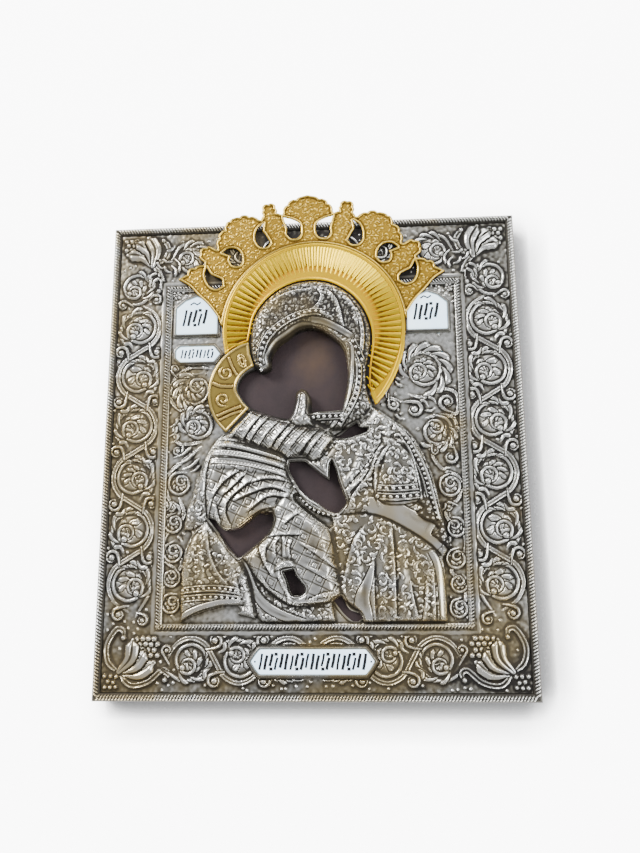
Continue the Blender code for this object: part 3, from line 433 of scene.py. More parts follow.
def coil(centre, outer, inner, start, turns, step=18.0):
    # a scroll that winds in; turns is negative for clockwise
    count = max(4, round(abs(turns) * 360 / step))
    along = np.linspace(0, 1, count + 1)
    angles = math.radians(start) + 2 * math.pi * turns * along
    radii = inner + (outer - inner) * (1 - along) ** 0.8
    return np.array(centre) + radii[:, None] * np.column_stack([np.cos(angles), np.sin(angles)])


def sideways(path):
    # unit vectors to the left of a line
    run = np.gradient(path, axis=0)
    run = run / np.maximum(np.linalg.norm(run, axis=1, keepdims=True), 1e-9)
    return np.column_stack([-run[:, 1], run[:, 0]])


def isInside(x, y, loop):
    # counts how often a line from each spot crosses the loop
    ax, ay = loop[:, 0], loop[:, 1]
    bx, by = np.roll(ax, -1), np.roll(ay, -1)
    crossed = np.zeros(np.broadcast(x, y).shape, bool)
    for x0, y0, x1, y1 in zip(ax, ay, bx, by):
        if y0 != y1:
            crossed ^= ((y0 > y) != (y1 > y)) & (x < (x1 - x0) * (y - y0) / (y1 - y0) + x0)
    return crossed


# a sheet is a grid of heights, which the chasing tools below press into

def newSheet(low, high, spacing):
    count = np.ceil((np.array(high) - np.array(low)) / spacing).astype(int) + 1
    xs, ys = np.linspace(low[0], high[0], count[0]), np.linspace(low[1], high[1], count[1])
    return {"xs": xs, "ys": ys, "shape": (len(ys), len(xs)), "step": xs[1] - xs[0]}


def span(sheet, low, high):
    # the rows and columns between two corners
    rows = slice(*np.searchsorted(sheet["ys"], (low[1], high[1])))
    columns = slice(*np.searchsorted(sheet["xs"], (low[0], high[0])))
    return rows, columns


def insideMask(sheet, loop):
    mask = np.zeros(sheet["shape"], bool)
    rows, columns = span(sheet, loop.min(0), loop.max(0))
    mask[rows, columns] = isInside(sheet["xs"][None, columns], sheet["ys"][rows, None], loop)
    return mask


def trace(sheet, path, width, closed=False):
    # for the spots within width of a line: how far off it, how far along it (mm) and on which side
    path = np.array(path, float)
    if closed:
        path = np.vstack([path, path[:1]])
    area = span(sheet, path.min(0) - width, path.max(0) + width)
    rows, columns = area
    gap = np.full((rows.stop - rows.start, columns.stop - columns.start), 1e3)
    along, side = np.zeros_like(gap), np.zeros_like(gap)
    reached = 0.0
    for a, b in zip(path[:-1], path[1:]):
        run = b - a
        length = max(float(np.hypot(*run)), 1e-6)
        r, c = span(sheet, np.minimum(a, b) - width, np.maximum(a, b) + width)
        x, y = sheet["xs"][None, c] - a[0], sheet["ys"][r, None] - a[1]
        share = np.clip((x * run[0] + y * run[1]) / length ** 2, 0, 1)
        off = np.hypot(x - share * run[0], y - share * run[1])
        part = (slice(r.start - rows.start, r.stop - rows.start),
                slice(c.start - columns.start, c.stop - columns.start))
        near = off < gap[part]
        gap[part][near] = off[near]
        along[part][near] = (reached + share * length)[near]
        side[part][near] = np.sign(run[0] * y - run[1] * x)[near]
        reached += length
    return area, gap, along, side, reached


def profileAcross(across, kind):
    # height over a line's width, from 0 in the middle to 1 at its foot
    t = np.clip(across, 0, 1)
    dome = np.sqrt(1 - t ** 2)
    if kind == "reeded":  # two raised edges and a hollow between them
        return np.clip((1 - t) / 0.2, 0, 1) ** 0.7 * (0.40 + 0.60 * np.exp(-((t - 0.7) / 0.22) ** 2))
    if kind == "veined":
        return dome - 0.4 * np.exp(-(t / 0.24) ** 2)
    return dome


def widthAlong(share, kind):
    # how wide a line is along its length
    if kind == "comma":
        return np.clip(0.3 + share * 5, 0, 1) * np.clip(1 - share, 0.03, 1) ** 0.55
    if kind == "petal":
        return np.clip(0.35 + 1.1 * share, 0, 1) * np.clip((1 - share) * 7, 0.1, 1) ** 0.5
    if kind == "even":
        return np.ones_like(share)
    if kind == "grown":
        return np.clip(0.35 + share * 2.5, 0, 1)
    return np.clip(0.35 + share * 6, 0, 1) * np.clip(0.35 + (1 - share) * 6, 0, 1)


def ridge(sheet, layer, path, half, rise, across="round", along="stem", moat=0.5, closed=False):
    # a raised line laid over whatever the layer holds, with a narrow moat beside it
    area, gap, reached, _, length = trace(sheet, path, half + moat, closed)
    scale = widthAlong(reached / length, along)
    t = gap / (half * scale)
    height = rise * np.clip(scale, 0.3, 1) * profileAcross(t, across)
    patch = layer[area]
    inMoat = gap < half * scale + moat
    patch[...] = np.where(t < 1, np.maximum(height, 0), np.where(inMoat, -0.08 - 0.16 * rise, patch))


def swell(sheet, layer, path, half, rise):
    # a soft fold added to what is there
    area, gap, reached, _, length = trace(sheet, path, half)
    scale = widthAlong(reached / length, "stem")
    layer[area] += rise * scale * (0.5 + 0.5 * np.cos(math.pi * np.clip(gap / half, 0, 1)))


def pleat(sheet, layer, path, width, rise):
    # a fold that laps over: it rises slowly on the right of the line and drops into a cut on its left
    area, gap, reached, side, length = trace(sheet, path, width)
    scale = widthAlong(reached / length, "stem")
    signed = gap * side
    slope = np.clip(1 + signed / width, 0, 1) ** 1.4
    cut = np.interp(signed, [0, 0.6, 1.0, 1.9], [1, -0.16, -0.2, 0])
    layer[area] += rise * scale * np.where(gap < width, np.where(signed <= 0, slope, cut), 0)


def knob(sheet, layer, centre, radius, rise, moat=0.5):
    # a round boss with a sunk ring about it
    centre = np.array(centre, float)
    rows, columns = span(sheet, centre - radius - moat, centre + radius + moat)
    gap = np.hypot(sheet["xs"][None, columns] - centre[0], sheet["ys"][rows, None] - centre[1])
    patch = layer[rows, columns]
    height = rise * np.sqrt(np.clip(1 - (gap / radius) ** 2, 0, 1))
    patch[...] = np.where(gap < radius, height, np.where(gap < radius + moat, 0.25 * patch, patch))


def blurred(field, radius):
    # three box blurs each way, close to a bell curve of that radius in grid steps
    size = max(1, int(round(radius * 0.95)))
    for axis in (0, 1) * 3:
        padded = np.pad(field, [(size + 1, size) if a == axis else (0, 0) for a in (0, 1)], mode="edge")
        total = np.cumsum(padded, axis=axis)
        high = np.take(total, range(2 * size + 1, total.shape[axis]), axis=axis)
        low = np.take(total, range(0, total.shape[axis] - 2 * size - 1), axis=axis)
        field = (high - low) / (2 * size + 1)
    return field


patinaSettings = {
    "ground": 0.42,  # the patina of level metal
    "plain": (0.44, 0.2),  # how much fine and broad relief count on a plain sheet
    "chased": (0.40, 0.14, 0.14),  # the same for chased detail, fine and broad relief
    "fineDepth": 0.30,
    "broadDepth": 1.6,
    "walls": 0.75,
}


def sunk(sheet, field, radius, depth, low, high):
    # how far each spot lies below its surroundings, in shares of the depth
    return np.clip((blurred(field, radius / sheet["step"]) - field) / depth, low, high)


def hollowOf(sheet, top, detail=None, fine=0.9, wide=3.2):
    # 0 on worn crests and 1 in the deepest hollows; the tall sides of cloths stay lighter
    s = patinaSettings
    near = sunk(sheet, top, fine, s["fineDepth"], -1.1, 1.15)
    far = sunk(sheet, top, wide, s["broadDepth"], -0.8, 0.8)
    if detail is None:
        return s["ground"] + s["plain"][0] * near + s["plain"][1] * far
    chased = sunk(sheet, detail, fine, s["fineDepth"], -1.2, 1.25)
    return s["ground"] + s["chased"][0] * chased + s["chased"][1] * near + s["chased"][2] * far


# turning a sheet into a closed piece

def boundaryOf(faces, count):
    # the sides that belong to one face only
    sides = np.concatenate([faces[:, [i, (i + 1) % 4]] for i in range(4)])
    key = sides.min(1).astype(np.int64) * count + sides.max(1)
    found, first, times = np.unique(key, return_index=True, return_counts=True)
    return sides[first[times == 1]]


def snapped(places, numbers, loops, reach):
    # moves the edge of a cut sheet onto the outline it was cut along
    for number in numbers:
        spot = places[number, :2]
        best, target = reach, None
        for loop in loops:
            run = np.roll(loop, -1, 0) - loop
            share = np.clip(((spot - loop) * run).sum(1) / np.maximum((run ** 2).sum(1), 1e-9), 0, 1)
            nearest = loop + share[:, None] * run
            gaps = np.hypot(*(nearest - spot).T)
            if gaps.min() < best:
                best, target = gaps.min(), nearest[gaps.argmin()]
        if target is not None:
            places[number, :2] = target


def underside(spots, rim, sheet, keep):
    # triangles between the points of the rim, wherever the sheet is kept
    made = delaunay_2d_cdt([Vector(spot) for spot in spots.tolist()], rim.tolist(), [], 0, 1e-5)
    flat = np.array([tuple(spot) for spot in made[0]])
    triangles = np.array([tuple(triangle) for triangle in made[2] if len(triangle) == 3])
    origin = np.array([source[0] if source else 0 for source in made[3]])
    middle = flat[triangles].mean(1)
    rows, columns = sheet["shape"]
    c = np.clip(np.searchsorted(sheet["xs"], middle[:, 0]) - 1, 0, columns - 2)
    r = np.clip(np.searchsorted(sheet["ys"], middle[:, 1]) - 1, 0, rows - 2)
    return origin[triangles[keep[r, c]]][:, ::-1]


def pieceFrom(name, sheet, top, keep, under, material, replaced, loops, hollow):
    rows, columns = sheet["shape"]
    number = np.arange(rows * columns).reshape(rows, columns)
    corners = np.stack([number[:-1, :-1], number[:-1, 1:], number[1:, 1:], number[1:, :-1]], -1)
    used, faces = np.unique(corners[keep], return_inverse=True)
    faces = faces.reshape(-1, 4)
    gridX, gridY = np.meshgrid(sheet["xs"], sheet["ys"])
    places = np.column_stack([gridX.ravel()[used], gridY.ravel()[used], top.ravel()[used]])
    rim = boundaryOf(faces, len(used))
    rimNumbers = np.unique(rim)
    snapped(places, rimNumbers, loops, 0.95 * sheet["step"])
    slopeY, slopeX = np.gradient(top, sheet["ys"], sheet["xs"])
    normals = np.column_stack([-slopeX.ravel()[used], -slopeY.ravel()[used], np.ones(len(used))])
    normals /= np.linalg.norm(normals, axis=1, keepdims=True)
    # walls down to the underside, then the underside itself
    feet = np.full(len(used), -1)
    feet[rimNumbers] = len(used) + np.arange(len(rimNumbers))
    footPlaces = places[rimNumbers].copy()
    footPlaces[:, 2] = under
    walls = np.column_stack([rim[:, 0], feet[rim[:, 0]], feet[rim[:, 1]], rim[:, 1]])
    bottoms = underside(footPlaces[:, :2], feet[rim] - len(used), sheet, keep) + len(used)
    mesh = bpy.data.meshes.new(name)
    allPlaces = np.vstack([places, footPlaces]) * mm
    mesh.from_pydata(allPlaces.tolist(), [], faces.tolist() + walls.tolist() + bottoms.tolist())
    # smooth normals on top, flat ones on the walls and below
    onTop, onWalls = len(faces) * 4, len(walls) * 4
    shown = np.zeros((len(mesh.loops), 3), np.float32)
    shown[:onTop] = normals[faces.ravel()]
    run = places[rim[:, 1], :2] - places[rim[:, 0], :2]
    outward = np.column_stack([run[:, 1], -run[:, 0], np.zeros(len(run))])
    outward /= np.maximum(np.linalg.norm(outward, axis=1, keepdims=True), 1e-9)
    shown[onTop:onTop + onWalls] = np.repeat(outward, 4, axis=0)
    shown[onTop + onWalls:] = (0, 0, -1)
    mesh.shade_smooth()
    mesh.normals_split_custom_set(shown.tolist())
    wallHollows = np.full(len(rimNumbers), patinaSettings["walls"])
    colourHollows(mesh, np.concatenate([hollow.ravel()[used], wallHollows]))
    mesh.materials.append(material)
    print(name, len(mesh.polygons))
    placed(name, mesh, replaced)


def colourHollows(mesh, values):
    # the patina that the metals read
    attribute = mesh.attributes.new("hollow", "FLOAT", "POINT")
    attribute.data.foreach_set("value", np.clip(values, 0, 1).astype(np.float32))


def placed(name, mesh, replaced=()):
    piece = linked(name, mesh)
    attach(piece, body)
    if replaced:
        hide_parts(*replaced)


# ornament of the border and the ground beside the figures
scrollSettings = {
    "stemHalf": 1.75, "stemRise": 1.5,
    "armHalf": 1.2, "armRise": 1.35,
    "leafHalf": 2.0, "leafRise": 1.7,
    "leafSweep": 46,
    "leafLine": [(1.0, 4.2), (0.72, 3.7), (0.4, 2.0), (0.0, -0.4)],  # share of the sweep, and how far out
    "bedRise": 0.8,
    "ring": (10.9, 38.6),  # radius of a ring in a bay of this length
    "shootRadius": 5.3,
}


def drawn(on, path, *shape):
    # a ridge on a working plane, which holds the sheet, its layer and the way onto it
    sheet, layer, place = on
    ridge(sheet, layer, place(path), *shape)


def studded(on, centre, *shape):
    sheet, layer, place = on
    knob(sheet, layer, place(np.reshape(centre, (1, 2)))[0], *shape)


def around(centre, radius, angle):
    # the spot at a radius and an angle, in radians, from a centre
    return np.array(centre) + radius * np.array([math.cos(angle), math.sin(angle)])


def tendril(centre, reach, ring, start, turns, hand):
    # an arm that leaves a stem, settles into a ring and then winds in towards the side where the ring closes
    along = np.linspace(0, turns, int(turns * 30))
    inner = ring * np.interp(along, (0.85, 1.15, turns), (1.0, 0.66, 0.17))
    radii = inner + (reach - ring) * np.exp(-2.6 * along)
    angles = math.radians(start) + hand * 2 * math.pi * along
    closing = math.radians(start) + hand * 2 * math.pi * 0.95
    drift = 0.72 * (ring - inner)[:, None] * np.array([[math.cos(closing), math.sin(closing)]])
    turned = radii[:, None] * np.column_stack([np.cos(angles), np.sin(angles)])
    return np.array(centre) + drift + turned, closing


def leaf(on, foot, tip, bow, half, rise, kind="comma", across="round"):
    foot, tip = np.array(foot, float), np.array(tip, float)
    run = tip - foot
    bend = (foot + tip) / 2 + bow * np.array([-run[1], run[0]])
    drawn(on, smooth([foot, bend, tip], 6), half, rise, across, kind)


def fiddlehead(on, root, centre, radius, hand, rise=1.9):
    # a shoot that curls over and ends in a ball
    back = np.array(root, float) - centre
    start = math.degrees(math.atan2(back[1], back[0])) + 40 * hand
    curl = coil(centre, radius, 0.3 * radius, start, 0.95 * hand)
    drawn(on, smooth(np.vstack([root, curl[::3], curl[-1:]]), 4), 0.5 + 0.14 * radius, rise, "round", "grown")
    studded(on, centre, 0.44 * radius, rise * 1.2, 0.6)


def medallion(on, centre, reach, ring, start, hand, number, s, lead=()):
    # an arm winding in, with petals filling the side of its ring that it leaves open
    arm, closing = tendril(centre, reach, ring, start, 1.9, hand)
    studded(on, centre, ring - 0.5, s["bedRise"])
    count = (4, 3, 5)[number % 3]
    eye = around(centre, 0.5 * ring, closing)
    for k in range(count):
        tip = around(centre, 0.8 * ring, closing + math.pi + math.radians(-78 + 156 * k / (count - 1)))
        leaf(on, tip, eye + 0.22 * (tip - eye), 0.36 * hand, 0.74 * ring / count ** 0.9, 1.8, "comma",
             "veined" if number % 2 else "round")
    line = np.vstack([np.reshape(lead, (-1, 2)), arm[::4]])
    drawn(on, smooth(line, 5), s["armHalf"] * min(1, 0.55 + 0.05 * ring), s["armRise"], "round", "stem", 0.6)
    studded(on, arm[-1], 0.21 * ring, 2.0, 0.5)


def wreath(on, centre, radius, first, last, count, hand, s, size=1.0):
    # long curved leaves along the outside of a ring, each lapping over the next
    sweep = hand * math.radians(s["leafSweep"])
    for angle in np.radians(np.linspace(first, last, count)):
        spots = [around(centre, radius + out * size, angle + share * sweep) for share, out in s["leafLine"]]
        drawn(on, smooth(spots, 4), s["leafHalf"] * size, s["leafRise"], "round", "comma")


def runningScroll(on, bays, half, lean, s):
    # a stem waving from side to side; in each bay an arm leaves it the other way and winds into a ring
    pitch = bays[1] - bays[0]
    ring = s["ring"][0] * pitch / s["ring"][1]
    knots = [(bays[0] - pitch / 2, 0)]
    for number, middle in enumerate(bays):
        side = lean * (-1) ** number
        knots += [(middle - 0.3 * pitch, side * 0.72 * half), (middle, side * half),
                  (middle + 0.3 * pitch, side * 0.72 * half), (middle + pitch / 2, 0)]
        lead = [(middle - 0.6 * pitch, -side * 0.34 * half), (middle - 0.47 * pitch, -side * 0.52 * half)]
        medallion(on, (middle, 0.0), ring + 5.0, ring, -118 * side, side, number, s, lead)
        wreath(on, (middle, 0.0), ring + 1.4, -140 * side, 5 * side, 4, side, s, 0.95)
    drawn(on, smooth(knots, 5), s["stemHalf"], s["stemRise"], "reeded", "stem", 0.75)
    for number, middle in enumerate(bays[:-1]):  # a leaf and a shoot on each side of a crossing
        crossing = middle + pitch / 2
        turn = lean * (-1) ** number
        for hand in (-1, 1):
            way = hand * turn
            leaf(on, (crossing + 0.18 * pitch * way, hand * 0.84 * half),
                 (crossing + 0.08 * pitch * way, hand * 0.34 * half), 0.3 * turn, 2.1, 1.6)
            fiddlehead(on, (crossing - 0.2 * pitch * way, hand * 0.5 * half), (crossing, hand * (half - 1.6)),
                       s["shootRadius"], turn)
            studded(on, (crossing + 6.6 * way, hand * (half + 1.4)), 1.2, 1.5)


def cornerFlower(on, foot, tips, sepals):
    for sepal in sepals:
        drawn(on, smooth(sepal, 6), 2.1, 2.0, "reeded", "stem", 0.6)
        studded(on, sepal[-1], 1.9, 2.3)
    for tip in tips:
        leaf(on, foot, tip, 0.16, 5.4, 3.0, "petal", "veined")


def berries(on, across, up, pitch, radius, seed):
    # a bunch of round buds
    chance = np.random.default_rng(seed)
    for row, y in enumerate(np.arange(up[0], up[1] + 0.1, pitch * 0.87)):
        for x in np.arange(across[0] + (row % 2) * pitch / 2, across[1] + 0.1, pitch):
            studded(on, np.array([x, y]) + chance.uniform(-0.3, 0.3, 2), radius, 2.0, 0.4)


borderSettings = {
    "sideMiddle": 132,  # where the middle lines of the borders lie
    "bottomMiddle": -150.5,
    "sideBays": [-98.0 + 38.6 * k for k in range(6)],
    "bottomBays": [-86.0, -51.5, -17.0],
    "bayHalf": (15.4, 15.2),
    "topRings": [((93, 151), 0), ((58, 152), 180), ((24, 152), 0)],  # centre and where the arm starts
    "topRadius": 15,
    "lastRing": ((128, -4), 15, 9.2, 210),
    # shoots: root, centre, radius, hand
    "sideShoots": [((118, 6), (118, 12), 4.4, 1), ((113, -6), (114, -14), 4.0, -1)],
    "bottomShoots": [((-101, -3), (-103, 7), 3.8, -1)],
    "cornerShoots": [((126, -118), (121.5, -123), 4.2, 1), ((132, -113), (139, -119), 5.0, -1)],
    # bunches: across, up, pitch, radius, seed
    "bunches": [((110.0, 127.0), (-147.0, -134.0), 4.3, 2.0, 3),
                ((138.5, 147.0), (-168.5, -161.0), 4.2, 1.6, 5),
                ((135.0, 146.0), (156.0, 168.0), 4.3, 1.9, 7)],
    # flowers: foot, tips of the petals, sepals
    "flowers": [((137, -158), [(112.5, -152), (118.5, -144), (127.5, -137)],
                 [[(138, -158), (145, -151), (146, -140), (140, -129.5), (135, -130), (134.5, -135)],
                  [(136, -160), (128, -167), (116, -165), (106, -157), (102, -159.5), (104, -163.5)]]),
                ((124, 146), [(144, 156), (138, 166), (128, 170)],
                 [[(124, 147), (118, 139), (115.5, 130), (118.5, 125)],
                  [(123, 147), (114, 152), (112, 161), (116, 167)]])],
    "leaves": [(120, 140, 127, 134), (118, 136, 124, 128), (121, 150, 113, 143), (117, 152, 108, 150),
               (114, 158, 107, 163), (115, 146, 109, 140), (106, 137, 109, 146), (103, 140, 107, 152)],
}


def borderPlanes(hand, s):
    # the ways onto a side border, the bottom one and the whole face, each mirrored by the hand
    def upright(p):
        p = np.asarray(p, float)
        return np.column_stack([hand * (s["sideMiddle"] - p[:, 1]), p[:, 0]])

    def level(p):
        p = np.asarray(p, float)
        return np.column_stack([hand * p[:, 0], p[:, 1] + s["bottomMiddle"]])

    def mirrored(p):
        return np.asarray(p, float) * (hand, 1)

    return upright, level, mirrored


def borderOrnament(sheet, s):
    layer = np.zeros(sheet["shape"])
    c = borderSettings
    for hand in (-1, 1):
        upright, level, face = [(sheet, layer, plane) for plane in borderPlanes(hand, c)]
        for centre, start in c["topRings"]:
            medallion(face, centre, c["topRadius"] + 1, 0.68 * c["topRadius"], start, 1, 1, s)
            wreath(face, centre, 0.72 * c["topRadius"], start + 50, start + 140, 4, 1, s)
        runningScroll(upright, c["sideBays"], c["bayHalf"][0], -1, s)
        centre, reach, ring, start = c["lastRing"]
        medallion(upright, centre, reach, ring, start, -1, 0, s)
        wreath(upright, centre, ring + 0.6, 150, 50, 4, -1, s, 0.9)
        for shoot in c["sideShoots"]:
            fiddlehead(upright, *shoot)
        runningScroll(level, c["bottomBays"], c["bayHalf"][1], 1, s)
        for shoot in c["bottomShoots"]:
            fiddlehead(level, *shoot)
        for shoot in c["cornerShoots"]:
            fiddlehead(face, *shoot)
        for bunch in c["bunches"]:
            berries(face, *bunch)
        for flower in c["flowers"]:
            cornerFlower(face, *flower)
        for x0, y0, x1, y1 in c["leaves"]:
            leaf(face, (x0, y0), (x1, y1), 0.2, 1.5, 1.9)
    return layer


groundScrolls = {
    # medallions: x, y, ring radius, start of the arm, hand, number of its filling
    # wreaths: x, y, radius, first and last angle, count, hand; shoots: root, centre, radius, hand
    # leaves: from x and y to x and y, bow
    "stems": [[(-76, 62), (-92, 63), (-104, 54), (-107, 40), (-99, 30), (-86, 30)],
        [(-97, 29), (-103, 16), (-100, 5), (-90, 4), (-82, 6)],
        [(-82, 2), (-96, -9), (-107, -20), (-106, -36), (-97, -44), (-99, -50)],
        [(-98, -36), (-94, -50), (-107, -64), (-107, -80), (-98, -88)],
        [(-98, -72), (-95, -86), (-107, -98), (-106, -112), (-98, -123)],
        [(66, 66), (58, 50), (56, 38), (66, 33)],
        [(72, 38), (84, 36), (96, 42), (107, 38), (107, 24), (98, 22)],
        [(84, 20), (92, 22), (104, 20), (106, 8), (99, 0), (90, 1)],
        [(92, 0), (88, -8), (95, -18), (106, -24), (106, -38), (97, -47), (101, -56)], [(100, -39),
        (96, -52), (108, -64), (107, -80), (98, -90), (106, -98), (107, -110), (100, -123)]],
    "medallions": [(-88, 45, 9.6, 70, 1, 2), (-85, 18, 9.0, 200, -1, 0), (-98, -26, 6.6, 60, 1, 2),
        (84, 57, 11.0, 200, -1, 2), (92, 10, 8.6, 100, -1, 0), (100, -30, 6.2, 90, 1, 1),
        (-101, -76, 5.6, 90, 1, 1), (-101.5, -55, 5.4, 80, 1, 0), (-102, -94, 4.9, 70, -1, 1),
        (-101.5, -112, 5.4, 60, 1, 0), (102.5, -60, 5.3, 110, -1, 0), (102, -82, 5.4, 80, 1, 1),
        (103, -99, 4.8, 70, -1, 0), (102.5, -116, 5.0, 80, 1, 1)],
    "wreaths": [(-88, 45, 11.5, 95, 250, 6, 1), (-85, 18, 10.4, 120, 215, 4, -1),
        (84, 57, 13.6, 205, -45, 10, -1), (92, 10, 10.0, 20, -100, 5, -1)],
    "shoots": [((-96, 4), (-100, -1), 3.9, -1), ((-102, 55), (-104, 62), 3.6, -1),
        ((104, 24), (100, 32), 6.0, -1), ((66, 33), (76, 27), 6.2, -1), ((57, 40), (61, 31), 4.2, 1),
        ((88, 1), (90, -4), 2.8, 1), ((103, 0), (101, -9), 5.0, -1), ((104, -44), (98, -45), 3.6, 1),
        ((-107, -38), (-103, -43), 3.2, 1)],
    "leaves": [(-101, 24, -107, 17, 0.2), (-101, 18, -107, 10, 0.2), (-100, 12, -105, 5, 0.2),
        (-90, 2, -103, -6, 0.1), (-87, -2, -101, -11, 0.1), (-84, -7, -96, -15, 0.1),
        (-83, -12, -90, -17, 0.1), (-80, 33, -72, 37, -0.2), (-104, -38, -108, -46, 0.2),
        (-99, -64, -95, -69, 0.2), (68, 45, 62, 50, 0.2), (66, 50, 60, 57, 0.2), (86, 36, 92, 31, 0.2),
        (80, 34, 86, 29, 0.2), (84, 26, 91, 28, -0.2), (95, -19, 101, -17, 0.2), (96, -42, 92, -48, 0.2),
        (106, 14, 108, 6, 0.2), (98, -66, 95, -72, 0.2), (62, 24, 68, 20, -0.2)],
    "dots": [(62, 39), (52, 31), (66, 24), (78, 12), (105, 20), (106, 1), (106, -16), (107, -49),
        (-107, -2), (-95, -48), (-94, -62), (-94, -98), (-107, -50), (98, -72), (97, -108), (108, -122),
        (-74, 30), (-107, 28), (64, 27), (-80, 58), (-77, 27), (106, 44), (96, 84), (70, 84)],
}


def groundOrnament(sheet, s):
    layer = np.zeros(sheet["shape"])
    face = (sheet, layer, np.asarray)
    g = groundScrolls
    for stem in g["stems"]:
        drawn(face, smooth(stem, 7), 1.25, 1.5, "reeded", "stem", 0.6)
    for x, y, radius, start, hand, number in g["medallions"]:
        medallion(face, (x, y), radius * 1.5, radius, start, hand, number, s)
    for x, y, radius, first, last, count, hand in g["wreaths"]:
        wreath(face, (x, y), radius, first, last, count, hand, s, 0.105 * radius)
    for root, centre, radius, hand in g["shoots"]:
        fiddlehead(face, root, centre, radius, hand, 1.8)
    for x0, y0, x1, y1, bow in g["leaves"]:
        leaf(face, (x0, y0), (x1, y1), bow, 1.4, 1.8)
    for spot in g["dots"]:
        studded(face, spot, 1.0, 1.2)
    return layer


def pearls(sheet, layer, low, high, pitch, radius, seed, share=1.0):
    # small punched dots wherever the ornament leaves the ground bare
    chance = np.random.default_rng(seed)
    for y in np.arange(low[1], high[1], pitch):
        for x in np.arange(low[0], high[0], pitch):
            spot = np.array([x, y]) + chance.uniform(-0.4, 0.4, 2) * pitch
            area = span(sheet, spot - 1.9 * radius, spot + 1.9 * radius)
            if chance.random() < share and layer[area].size and layer[area].max() < 0.05:
                knob(sheet, layer, spot, radius, 0.9, 0.7)


